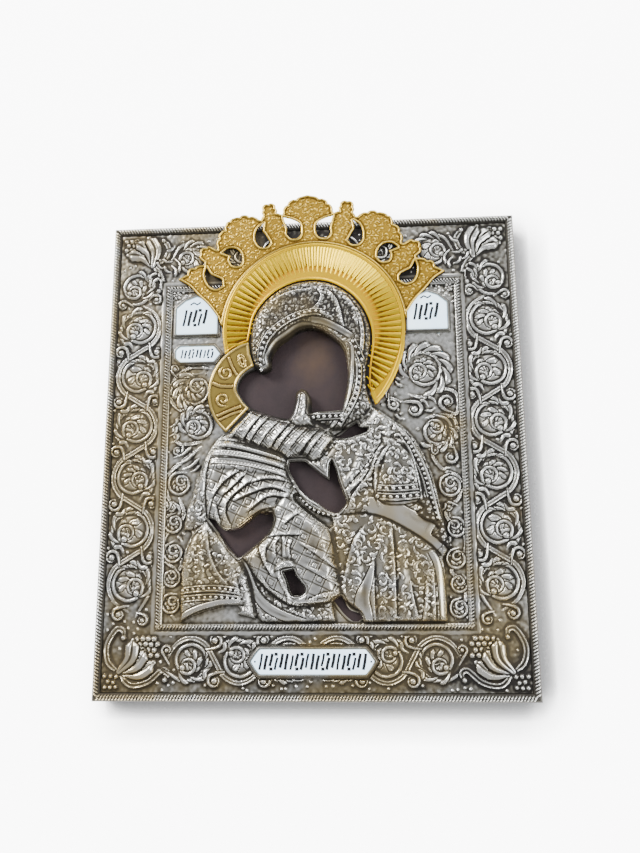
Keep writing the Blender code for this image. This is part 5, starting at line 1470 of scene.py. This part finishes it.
plaques = {
    "plaque_upper_left": [(-104, 89), (-72, 89), (-72, 110), (-79, 116), (-88, 119.5), (-97, 116),
        (-104, 110)],
    "plaque_upper_right": [(72.5, 88), (103, 88), (103, 109), (96, 115), (88, 118), (80, 115), (72.5, 109)],
    "plaque_small": [(-103.5, 70), (-100, 67), (-74, 67), (-69, 73.2), (-74, 79.5), (-100, 79.5),
        (-103.5, 76.5)],
    "plaque_bottom": [(-37, -160), (37, -160), (40, -156.5), (43.5, -151), (40, -146), (37, -142.5),
        (-37, -142.5), (-40, -146), (-43.5, -151), (-40, -156.5)],
}


def grown(loop, by):
    # the loop with its sides moved out
    loop = np.array(loop, float)
    run = np.roll(loop, -1, 0) - loop
    area = np.sum(loop[:, 0] * np.roll(loop[:, 1], -1) - np.roll(loop[:, 0], -1) * loop[:, 1])
    out = np.column_stack([run[:, 1], -run[:, 0]])
    out = out / np.linalg.norm(run, axis=1, keepdims=True) * np.sign(area)
    before = np.roll(out, 1, 0)
    return loop + by * (out + before) / (1 + (out * before).sum(1, keepdims=True))


beds = [grown(loop, 3.0) for loop in plaques.values()]


# outlines of the gilt pieces

def haloOutline():
    join = arc(smallCentre, smallRadius + 0.3, 133, 104, 8)
    inner = [(-46.6, 85), (-43.4, 100.5), (-36.3, 112.2), (-26, 121.5), (-12.5, 127.7), (0, 129.3),
             (12.6, 127.7), (25, 121.6), (35.6, 112), (42.6, 99.6), (45.8, 88), (45.7, 75), (43.6, 60),
             (42.8, 46), (44.4, 38), (47.6, 30)]
    limb = [(47.6, 30), (55, 39), (63, 53), (69, 70), tuple(arc(haloCentre, haloRadius, -7, -7, 1)[0])]
    rim = arc(haloCentre, haloRadius, 0, 192, 97)
    return np.vstack([join, smooth(inner, 5), smooth(limb, 5)[1:], rim])


def smallHaloOutline():
    inner = [(-46.3, 29.6), (-51.2, 34.6), (-56, 44), (-53.9, 52.8), (-48.7, 58.2), (-42.8, 61.9),
             (-45.7, 70.5)]
    return np.vstack([arc(smallCentre, smallRadius, 104, 230, 73), smooth(inner[:6], 5), inner[6:]])


crownSettings = {
    "axis": 1.0,
    "lean": -0.03,
    "rim": 1.9,
    "spacing": 0.5,
    "ground": 0.35,  # how far the plate lies under its face
    "engraving": (8.0, 71, 0.26, 0.5, 0.95),  # pitch, seed, rise, stem and drop
    "rimRise": 0.75,
    "lip": (0.95, 0.85),  # half width and rise of the edge about an opening
}


def leaned(half, hand, s):
    half = np.array(half, float)
    axis = s["axis"] + s["lean"] * (half[:, 1] - haloCentre[1])
    return np.column_stack([axis + hand * half[:, 0], half[:, 1]])


def crownHalf():
    lower = smooth([(72, 101.5), (79, 111.4), (87, 119.6), (94, 127.5), (103, 133.2)], 5)
    ear = smooth([(103, 133.2), (97.5, 136.3), (94, 141.2), (89, 143.4), (82.5, 144.8)], 5)[1:]
    sideKnob = arc((79.4, 153), 6.9, -52, 130, 17)
    shoulder = smooth([(72.3, 157.8), (72.2, 163), (70.6, 169), (66.5, 174), (63.5, 180.5), (57.5, 183.2),
                       (51, 185.2), (44, 184), (38, 181.2)], 4)
    topKnob = arc((30.3, 188.3), 6.4, -42, 205, 20)
    middle = smooth([(20.2, 185.4), (18.6, 190.4), (14.5, 195.2), (8, 198.2), (0, 200.2)], 4)[:-1]
    return scalloped(np.vstack([lower, ear, sideKnob, shoulder, topKnob, middle]))


def scalloped(path, wave=8.8, bite=1.2, first=44.0):
    # small cusps bitten into the outer edge, beyond the plain stretch next to the halo
    run = np.concatenate([[0], np.cumsum(np.linalg.norm(np.diff(path, axis=0), axis=1))])
    along = np.arange(0, run[-1], 0.8)
    fine = np.column_stack([np.interp(along, run, path[:, 0]), np.interp(along, run, path[:, 1])])
    inward = (1 - np.abs(np.sin(math.pi * (along - first) / wave))) ** 1.6 * bite
    fade = np.clip((along - first) / 4, 0, 1) * np.clip((run[-1] - along) / 4, 0, 1)
    return fine + sideways(fine) * (inward * fade)[:, None]


crownDrops = [
    [(72.5, 124.3), (77.2, 126), (80.6, 131), (81.6, 137), (80.3, 142.5), (77, 136.5), (72.8, 134.2),
        (68.4, 131.6), (67.8, 127)],
    [(52.2, 146.3), (55, 142.8), (60, 143.2), (62.2, 147.5), (61, 151.2), (68, 153.8), (63.5, 157.2),
        (57, 156.8), (53, 152.5)],
    [(30, 161), (33, 157.6), (38, 157.8), (41.3, 162), (41.6, 168), (39.4, 174), (34.8, 177.4), (35.6, 171),
        (33.6, 167.6)],
    [(6, 168), (8.4, 164.3), (13.4, 163.8), (16.8, 167.5), (16.6, 172), (19.4, 182), (12.2, 179.8),
        (6.6, 176)],
]


def crownOutline(s):
    half = crownHalf()
    tips = [arc(haloCentre, haloRadius + 1.4, angle, angle, 1) for angle in (3, 177)]
    foot = arc(haloCentre, haloRadius + 0.3, 176, 8, 85)
    top = leaned([(0, 200.2)], 1, s)
    return np.vstack([tips[0], leaned(half, 1, s), top, leaned(half, -1, s)[::-1], tips[1], foot])


crownLoop = crownOutline(crownSettings)


def cellMask(sheet, outline, holes):
    # the cells of the grid whose middle lies in the outline and in none of the holes
    middle = {"xs": (sheet["xs"][1:] + sheet["xs"][:-1]) / 2, "ys": (sheet["ys"][1:] + sheet["ys"][:-1]) / 2}
    middle["shape"] = (len(middle["ys"]), len(middle["xs"]))
    keep = insideMask(middle, outline)
    for hole in holes:
        keep &= ~insideMask(middle, hole)
    return keep


def edgeDistance(sheet, loops, reach):
    # the distance to the nearest loop, up to the reach
    far = np.full(sheet["shape"], reach)
    for loop in loops:
        area, gap, *_ = trace(sheet, loop, reach, closed=True)
        far[area] = np.minimum(far[area], gap)
    return far


def makeCover(material):
    sheet = newSheet(coverLow[:2], coverHigh[:2], clothSettings["spacing"])
    openings = [softened(loop) for loop in windows]
    top, detail, shade, owner, names = coverHeights(sheet, openings, clothSettings)
    hollow = hollowOf(sheet, top, detail) + shade
    (x0, y0), (x1, y1) = coverLow[:2] - 1, coverHigh[:2] + 1
    keep = cellMask(sheet, np.array([(x0, y0), (x1, y0), (x1, y1), (x0, y1)]), openings)
    west, east = np.searchsorted(sheet["xs"], (fieldLow[0], fieldHigh[0]))
    south, north = np.searchsorted(sheet["ys"], (fieldLow[1], fieldHigh[1]))
    waist = (south + north) // 2
    parts = {
        "border_left": (slice(None), slice(0, west)),
        "border_right": (slice(None), slice(east, None)),
        "border_bottom": (slice(0, south), slice(west, east)),
        "border_top": (slice(north, None), slice(west, east)),
        "figures_lower": (slice(south, waist), slice(west, east)),
        "figures_upper": (slice(waist, north), slice(west, east)),
    }
    for name, part in parts.items():
        chosen = np.zeros_like(keep)
        chosen[part] = keep[part]
        pieceFrom(name, sheet, top, chosen, coverLow[2], material, ("cover",), openings,
                  hollow)
    for opening in openings:
        owner[insideMask(sheet, opening)] = -1
    return sheet, top, {name: owner == number for number, name in enumerate(names)}


def giltPlate(name, node, sheet, top, outline, holes, material, paintedShade=0.0):
    # a thin plate between the levels of its CAD node, with any painted shade added to its patina
    low, high = boxOf(node)
    top = np.minimum(top, high[2])
    hollow = hollowOf(sheet, top, fine=0.8, wide=2.4) + paintedShade
    pieceFrom(name, sheet, top, cellMask(sheet, outline, holes), low[2], material, (node,),
              [outline] + holes, hollow)


# the gilt pieces

def makeCrown(material):
    s = crownSettings
    drops = [leaned(softened(drop), hand, s) for drop in crownDrops for hand in (1, -1)]
    sheet = newSheet(crownLow[:2] - 0.5, crownHigh[:2] + 0.5, s["spacing"])
    edge = edgeDistance(sheet, [crownLoop], 12.0)
    lip = edgeDistance(sheet, drops, 6.0)
    ground = haloHigh[2] - 1.0 - s["ground"]
    engraving = np.zeros(sheet["shape"])
    arabesque(sheet, engraving, np.ones(sheet["shape"], bool), *s["engraving"])
    inner = np.clip((edge - s["rim"]) / 1.2, 0, 1) * np.clip((lip - 1.9) / 0.9, 0, 1)
    top = ground + inner * (0.1 + engraving)
    top += s["rimRise"] * np.exp(-((edge - s["rim"] * 0.5) / (s["rim"] * 0.36)) ** 4)
    half, rise = s["lip"]
    top = np.maximum(top, ground + rise * np.clip(1 - ((lip - half) / half) ** 2, 0, 1))
    giltPlate("crown_plate", "crown", sheet, top, crownLoop, drops, material)


haloSettings = {
    "spacing": 0.6,
    "face": 0.75,  # above the underside
    "rim": [(0.9, 0.62, 0.55, 0), (2.3, 0.5, 0.4, 62)],  # ridges: distance in, width, rise, least radius
    "dish": (50, 14, 0.12),  # from this radius on, over this distance, the face rises
    "paintedShade": (45, 6, 66.2, 0.42),  # painted shade on the plate between the rays: from this radius on, over this distance, up to this radius, amount
}


def makeHalo(material):
    s = haloSettings
    outline = haloOutline()
    sheet = newSheet(haloLow[:2] - 0.5, haloHigh[:2] + 0.5, s["spacing"])
    gridX, gridY = np.meshgrid(sheet["xs"], sheet["ys"])
    radius = np.hypot(gridX - haloCentre[0], gridY - haloCentre[1])
    edge = edgeDistance(sheet, [outline], 8.0)
    face = haloLow[2] + s["face"]
    top = np.full(sheet["shape"], face)
    for place, wide, rise, least in s["rim"]:
        top += rise * np.exp(-((edge - place) / wide) ** 2) * (radius > least)
    first, over, rise = s["dish"]
    top += rise * np.clip((radius - first) / over, 0, 1)
    # painted shade on the plate, dark between the rays
    first, over, last, amount = s["paintedShade"]
    paintedShade = amount * np.clip((radius - first) / over, 0, 1) * (radius < last)
    giltPlate("halo_plate", "halo", sheet, top, outline, [], material, paintedShade)
    return outline, face


smallHaloSettings = {
    "spacing": 0.5,
    "face": 0.75,
    "rim": (1.1, 0.7, 0.6),
    # chased lines: points, half width
    "lines": [([(-76.5, 51), (-68, 47), (-55, 46.5)], 1.3), ([(-62, 68.5), (-59, 61), (-55, 54)], 1.1),
              ([(-70, 24), (-61, 28), (-53, 31)], 1.2), ([(-69, 20.5), (-60, 25), (-52, 27.5)], 1.0)],
    # curls: centre, outer and inner radius, start, turns
    "curls": [((-64, 57), 5.4, 1.2, 120, 1.3), ((-66, 36.5), 5.2, 1.2, -60, -1.3)],
    "leafSizes": (5.2, 3.0),
    "leafAt": (-52, 66),
}


def makeSmallHalo(material):
    s = smallHaloSettings
    outline = smallHaloOutline()
    sheet = newSheet(smallLow[:2] - 0.5, smallHigh[:2] + 0.5, s["spacing"])
    edge = edgeDistance(sheet, [outline], 8.0)
    layer = np.zeros(sheet["shape"])
    for path, half in s["lines"]:
        ridge(sheet, layer, smooth(path, 5), half, 0.8, "round", "even")
    for curl in s["curls"]:
        ridge(sheet, layer, coil(*curl), 0.9, 0.6)
    x, y = s["leafAt"]
    for size in s["leafSizes"]:  # two leaning ovals, one in the other
        oval = [(x + size * 0.5 * math.cos(a) * 0.9 - size * 0.35 * math.sin(a),
                 y + size * math.sin(a) * 0.95 + size * 0.2 * math.cos(a)) for a in np.linspace(0, 6.0, 16)]
        ridge(sheet, layer, np.array(oval), 0.7, 0.6, "round", "even", 0.3, closed=True)
    place, wide, rise = s["rim"]
    top = smallLow[2] + s["face"] + layer * (edge > 2.6) + rise * np.exp(-((edge - place) / wide) ** 2)
    giltPlate("small_halo_plate", "small_halo", sheet, top, outline, [], material)


# geometry nodes: a small shape repeated along curves
shapes = {
    # vertices of one shape, the angle under which its edges look smooth, and how its axis is laid over
    "bead": (34, 80, 0.0),  # a squat ball
    "strand": (25, 80, 0.5 * math.pi),  # a rod bent over a half circle that stands across its line
    "dart": (8, 12, -0.5 * math.pi),  # a cone that lies to the left of its line
}


def repeatTree(name, shape, material, labels, reach):
    tree = bpy.data.node_groups.new(name, "GeometryNodeTree")
    for way in ("INPUT", "OUTPUT"):
        tree.interface.new_socket("Geometry", in_out=way, socket_type="NodeSocketGeometry")
    for label in labels:
        tree.interface.new_socket(label, in_out="INPUT", socket_type="NodeSocketFloat")
    given = addNode(tree, "NodeGroupInput").outputs
    along = addNode(tree, "GeometryNodeResampleCurve", mode="LENGTH", Curve=given["Geometry"],
                    Length=given["Pitch"])
    if shape == "strand":
        half = addNode(tree, "GeometryNodeCurveArc", Resolution=5, Radius=reach,
                       **{"Start Angle": math.radians(22), "Sweep Angle": math.radians(136)})
        section = addNode(tree, "GeometryNodeCurvePrimitiveCircle", Resolution=5, Radius=0.24 * reach)
        unit = addNode(tree, "GeometryNodeCurveToMesh", Curve=half.outputs["Curve"],
                       **{"Profile Curve": section.outputs["Curve"], "Fill Caps": True})
    elif shape == "dart":
        unit = addNode(tree, "GeometryNodeMeshCone", Vertices=4, Depth=1.0,
                       **{"Radius Top": 0.2, "Radius Bottom": 1.0})
    else:
        unit = addNode(tree, "GeometryNodeMeshUVSphere", Segments=8, Rings=5, Radius=1.0)
    lie = addNode(tree, "GeometryNodeTransform", Geometry=unit.outputs["Mesh"],
                  Rotation=(shapes[shape][2], 0, 0))
    tangent = addNode(tree, "GeometryNodeInputTangent").outputs["Tangent"]
    face = addNode(tree, "FunctionNodeAlignRotationToVector", axis="X", pivot_axis="Z", Vector=tangent)
    turn = addNode(tree, "FunctionNodeAxisAngleToRotation", Axis=(0, 0, 1), Angle=given["Turn"])
    both = addNode(tree, "FunctionNodeRotateRotation", rotation_space="LOCAL",
                   Rotation=face.outputs["Rotation"], **{"Rotate By": turn.outputs["Rotation"]})
    size = addNode(tree, "ShaderNodeCombineXYZ", X=given["Length"], Y=given["Width"], Z=given["Height"])
    vary = addNode(tree, "FunctionNodeRandomValue", data_type="FLOAT", Seed=4)
    least, most = [number for number, socket in enumerate(vary.inputs) if socket.type == "VALUE"][:2]
    setInputs(tree, vary, {least: maths(tree, "SUBTRACT", 1.0, given["Vary"]),
                           most: maths(tree, "ADD", 1.0, given["Vary"])})
    scaled = addNode(tree, "ShaderNodeVectorMath", operation="SCALE",
                     Scale=next(socket for socket in vary.outputs if socket.type == "VALUE"))
    setInputs(tree, scaled, {0: size.outputs["Vector"]})
    put = addNode(tree, "GeometryNodeInstanceOnPoints", Points=along.outputs["Curve"],
                  Instance=lie.outputs["Geometry"], Rotation=both.outputs["Rotation"],
                  Scale=scaled.outputs["Vector"])
    real = addNode(tree, "GeometryNodeRealizeInstances", Geometry=put.outputs["Instances"])
    finish = addNode(tree, "GeometryNodeSetMaterial", Geometry=real.outputs["Geometry"], Material=material)
    addNode(tree, "NodeGroupOutput", Geometry=finish.outputs["Geometry"])
    return tree


def repeated(name, shape, paths, material, settings, hollow=0.3, reach=0.0):
    # runs the tree on curves through paths (points in millimetres) and keeps the plain mesh
    perShape, angle = shapes[shape][:2]
    curve = bpy.data.curves.new(name + "Line", "CURVE")
    curve.dimensions = "3D"
    for path in paths:
        spline = curve.splines.new("POLY")
        spline.points.add(len(path) - 1)
        for point, place in zip(spline.points, path):
            point.co = (*(float(c) * mm for c in place), 1)
    line = linked(name + "Line", curve)
    modifier = line.modifiers.new("repeat", "NODES")
    modifier.node_group = repeatTree(name + "Tree", shape, material, settings, reach)
    sockets = {item.name: item.identifier for item in modifier.node_group.interface.items_tree
               if item.in_out == "INPUT"}
    for label, value in settings.items():
        modifier[sockets[label]] = value
    graph = bpy.context.evaluated_depsgraph_get()
    mesh = bpy.data.meshes.new_from_object(line.evaluated_get(graph))
    mesh.name = name
    line.modifiers.remove(modifier)
    bpy.data.objects.remove(line, do_unlink=True)
    mesh.shade_smooth()
    mesh.set_sharp_from_angle(angle=math.radians(angle))
    # darker towards the foot of each shape
    heights = np.zeros(len(mesh.vertices) * 3, np.float32)
    mesh.vertices.foreach_get("co", heights)
    groups = heights.reshape(-1, 3)[:, 2].reshape(-1, perShape)
    share = (groups - groups.min(1, keepdims=True)) / np.maximum(np.ptp(groups, axis=1)[:, None], 1e-9)
    colourHollows(mesh, (hollow + 0.75 * (1 - share) ** 1.5 - 0.1).ravel())
    print(name, len(mesh.polygons))
    placed(name, mesh)


cables = {
    # lowest and highest corner, inset of the line, its height, and the strand's sizes
    "edge_cable": (edgeLow, edgeHigh, 3.0, edgeHigh[2] - 2.75,
                   {"Pitch": 2.25 * mm, "Length": 1.05, "Width": 1.0, "Height": 1.22}, 2.35),
    "inner_cable": (fieldLow, fieldHigh, 0.0, borderGround - 0.35,
                    {"Pitch": 2.3 * mm, "Length": 1.3, "Width": 1.15, "Height": 1.2}, 1.75),
}
strandLean = {"left": 55, "top": 125, "right": 125, "bottom": 55}


def makeCables(material):
    for label, (low, high, inset, level, settings, reach) in cables.items():
        x0, y0, x1, y1 = low[0] + inset, low[1] + inset, high[0] - inset, high[1] - inset
        corners = np.array([(x0, y0, level), (x1, y0, level), (x1, y1, level), (x0, y1, level)])
        for side, name in enumerate(("bottom", "right", "top", "left")):
            a, b = corners[side], corners[(side + 1) % 4]
            run = (b - a) / np.linalg.norm(b - a)
            line = np.array([a + run * 0.6 * inset, b - run * 0.6 * inset])
            sizes = {**settings, "Turn": math.radians(strandLean[name]), "Vary": 0.03}
            repeated(f"{label}_{name}", "strand", [line], material, sizes, 0.3, reach * mm)


beadSizes = {
    # cloth: radius and pitch
    "hood": (1.5, 4.2), "mantle": (1.2, 3.4), "cap": (1.6, 4.5), "sideDrape": (1.3, 3.7),
}


def makeBeads(sheet, top, places, material):
    # a row of beads down the middle of each braided strip, wherever its cloth is seen
    for name, (size, pitch) in beadSizes.items():
        runs = []
        for path in (smooth(path, 10) for path, half, kind in bands[name] if kind == "braid"):
            c = np.clip(np.searchsorted(sheet["xs"], path[:, 0]), 0, len(sheet["xs"]) - 1)
            r = np.clip(np.searchsorted(sheet["ys"], path[:, 1]), 0, len(sheet["ys"]) - 1)
            level = np.minimum(top[r, c] + 0.05, coverHigh[2] - 0.85 * size)
            seen = places[name][r, c].astype(int)
            ends = np.flatnonzero(np.diff(np.concatenate([[0], seen, [0]])))
            for first, last in zip(ends[::2], ends[1::2]):
                if last - first > 4:
                    runs.append(np.column_stack([path, level])[first + 1:last - 1])
        radius = size * mm
        repeated("beads_" + name, "bead", runs, material,
                 {"Pitch": pitch * mm, "Length": radius, "Width": radius, "Height": 0.8 * radius, "Turn": 0.0,
                  "Vary": 0.08}, -0.1)


raySettings = {
    "count": 86,
    "start": -21.5,  # where the first one stands, in steps
    "feet": (46.0, 50.5, 55.0, 60.0),  # radii at which they start, the longest first
    "tip": 65.9,
    "hidden": 2.2,  # room that a whole one needs at its foot
    "half": 2.05,
    "tall": 1.2,
}


def makeRays(outline, face, material):
    # darts round the halo, wide at the rim and pointing in, wherever a whole one fits on the plate
    s = raySettings
    pitch = 360 / s["count"]
    left = [(k + s["start"]) * pitch for k in range(s["count"] + 1)]
    for number, foot in enumerate(s["feet"]):
        runs = [[]]
        for angle in left:
            radii = (foot + s["hidden"], s["tip"])
            ends = np.vstack([arc(haloCentre, radius, angle, angle, 1) for radius in radii])
            if isInside(ends[:, 0], ends[:, 1], outline).all():
                runs[-1].append(angle)
            elif runs[-1]:
                runs.append([])
        left = [angle for angle in left if not any(angle in run for run in runs)]
        paths = []
        for run in filter(None, runs):
            ring = arc(haloCentre, s["tip"], run[0], run[-1] + 0.01, 12 * len(run) + 1)
            paths.append(np.column_stack([ring, np.full(len(ring), face)]))
        step = 2 * math.pi * s["tip"] / s["count"]
        repeated(f"halo_rays_{number}", "dart", paths, material,
                 {"Pitch": step * mm, "Length": s["half"] * mm, "Width": (s["tip"] - foot) * mm,
                  "Height": s["tall"] * mm, "Turn": 0.0, "Vary": 0.03}, 0.05)


# plaques
plaqueSettings = {
    "rimWide": 2.2,
    "gap": 0.5,
    "strokeTall": 0.064,  # above the glaze
    "strokeDeep": 0.5,  # and below it
    # the plate's steps: how far out, and how far under its top; None stands for its foot
    "dome": [(0.0, None), (0.0, 0.55), (-0.35, 0.2), (-0.9, 0.05), (-1.8, 0.0), (-2.4, 0.0)],
}
strokeSettings = {
    # plaque: first, last, step, low, high, width
    "plaque_bottom": (-36.0, 37.0, 3.6, -156.4, -145.6, 2.0),
    "plaque_small": (-98.5, -74.0, 2.9, 69.8, 76.6, 1.35),
    "plaque_upper_left": (-97.0, -78.0, 3.9, 95.5, 108.5, 2.1),
    "plaque_upper_right": (79.0, 98.0, 3.9, 95.5, 108.5, 2.1),
}


def sweptLoop(name, loop, profile, closed):
    # carries a profile of (out, height) round a loop; one that isn't closed gets a lid above and below
    rings = [softCorners(grown(loop, out)) for out, height in profile]
    count, around = len(rings[0]), len(rings)
    places = [(*(spot * mm), height * mm) for ring, (out, height) in zip(rings, profile) for spot in ring]
    faces = [] if closed else [tuple(range(count))[::-1], tuple(range((around - 1) * count, around * count))]
    for k in range(around if closed else around - 1):
        m = (k + 1) % around
        for i in range(count):
            j = (i + 1) % count
            faces.append((k * count + i, k * count + j, m * count + j, m * count + i))
    mesh = bpy.data.meshes.new(name)
    mesh.from_pydata(places, [], faces)
    return mesh


def corrected(mesh):
    shape = bmesh.new()
    shape.from_mesh(mesh)
    bmesh.ops.recalc_face_normals(shape, faces=shape.faces)
    shape.to_mesh(mesh)
    shape.free()


def strokeShape(points, width, low, high, places, faces):
    # a flat ribbon along a line, with square ends
    path = np.array(points, float)
    side = sideways(path) * width / 2
    ring = np.vstack([path + side, (path - side)[::-1]])
    base, count = len(places), len(ring)
    places += [(*(p * mm), low * mm) for p in ring] + [(*(p * mm), high * mm) for p in ring]
    top = base + count
    for i in range(count // 2 - 1):
        faces.append((top + i, top + i + 1, top + count - 2 - i, top + count - 1 - i))
    for i in range(count):
        j = (i + 1) % count
        faces.append((base + i, base + j, top + j, top + i))


def strokeRows(name):
    # rows of plain slanted bars, with dots between and above them: (points, width)
    first, last, step, low, high, width = strokeSettings[name]
    tall = high - low
    lean = 0.09 * tall
    rows = []
    for k, x in enumerate(np.arange(first, last, step)):
        foot = low + (0.0, 0.0, 0.22, 0.0, 0.12)[k % 5] * tall
        head = high - (0.0, 0.1, 0.0, 0.25, 0.0)[k % 5] * tall
        rows.append(([(x - lean, foot), (x + 0.25 * (-1) ** k, (foot + head) / 2), (x + lean, head)],
                     width * (1.0 if k % 3 else 0.8)))
        if k % 5 in (2, 3):
            y = low + 0.05 * tall if k % 5 == 2 else high - 0.04 * tall
            rows.append(([(x - 0.6 * width, y), (x + 0.6 * width, y)], 1.1 * width))
    if name == "plaque_bottom":  # a dot in each point of the plaque
        rows += [([(x - 0.6, -151.0), (x + 0.6, -151.0)], 1.2) for x in (-40.0, 40.6)]
    if name.startswith("plaque_upper"):
        wave = [(first + 4, 112.4), (first + 6.6, 114.2), (first + 9.4, 112.6), (first + 12, 114.4)]
        rows.append((wave, 1.2))
    return rows


def finished(name, mesh, material, replaced=(), angle=None):
    corrected(mesh)
    if angle is not None:
        mesh.shade_smooth()
        mesh.set_sharp_from_angle(angle=math.radians(angle))
    mesh.materials.append(material)
    print(name, len(mesh.polygons))
    placed(name, mesh, replaced)


def makePlaques(metal, white, dark):
    s = plaqueSettings
    for name, loop in plaques.items():
        low, high = (corner[2] for corner in boxOf(name + "_bezel"))
        glaze = boxOf(name + "_enamel")[1][2]
        wide = s["rimWide"]
        profile = [(0.0, low), (wide, low), (wide, low + 1.4), (wide - 0.25, low + 1.9),
                   (wide - 0.8, low + 1.75), (wide - 1.0, high - 0.25), (wide - 1.35, high), (0.35, high),
                   (0.0, high - 0.35)]
        rim = sweptLoop(name + "_rim", loop, profile, True)
        finished(name + "_rim", rim, metal, (name + "_bezel",), 38)
        steps = [(out, low if under is None else glaze - under) for out, under in s["dome"]]
        plate = sweptLoop(name + "_plate", grown(loop, -s["gap"]), steps, False)
        finished(name + "_plate", plate, white, (name + "_enamel",), 50)
        places, faces = [], []
        for points, width in strokeRows(name):
            strokeShape(points, width, glaze - s["strokeDeep"], glaze + s["strokeTall"], places, faces)
        strokes = bpy.data.meshes.new(name + "_strokes")
        strokes.from_pydata(places, [], faces)
        finished(name + "_strokes", strokes, dark)


def softCorners(loop, cut=0.8):
    # each corner of a loop becomes three points
    loop = np.array(loop, float)
    made = []
    for i, corner in enumerate(loop):
        before, after = loop[i - 1] - corner, loop[(i + 1) % len(loop)] - corner
        first = corner + before / np.hypot(*before) * cut
        last = corner + after / np.hypot(*after) * cut
        made += [first, 0.5 * corner + 0.25 * (first + last), last]
    return np.array(made)


# building it all
print("stage")
makeCamera(cameraSettings)
makeLights(lightSettings, worldSettings)
makeFloor(floorSettings)

print("materials")
silver = silveredBrass("silveredBrass", silverSettings)
silverPlain = silveredBrass("silveredBrassPlain", {**silverSettings, "evenly": 0.5})
silverDark = silveredBrass("silveredBrassDark", {**silverSettings, "evenly": 0.76, "patchDepth": 0.08,
                                                 "brassShare": 0.25})
gilt = gilding("gilding", goldSettings)
crownGilt = gilding("crownGilding", {
    **goldSettings, "bright": (1.0, 0.70, 0.14), "plain": (0.50, 0.30, 0.035), "dull": (0.22, 0.13, 0.02),
    "roughness": (0.28, 0.45, 0.7), "bumpStrength": 0.3,
})
oliveGilt = gilding("oliveGilding", {
    **goldSettings, "bright": (0.95, 0.70, 0.24), "plain": (0.40, 0.29, 0.075), "dull": (0.17, 0.12, 0.035),
    "roughness": (0.26, 0.42, 0.65),
})
enamel = whiteEnamel(enamelSettings)
ink = strokeEnamel(inkSettings)
for node, material in (("board", oldBoard(boardSettings)), ("edge_moulding", silverDark)):
    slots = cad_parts[node].data.materials
    slots.clear()
    slots.append(material)

sheet, top, places = makeCover(silver)
makeCables(silver)
makeBeads(sheet, top, places, silver)
makeCrown(crownGilt)
haloLoop, haloFace = makeHalo(gilt)
makeRays(haloLoop, haloFace, gilt)
makeSmallHalo(oliveGilt)
makePlaques(silverPlain, enamel, ink)
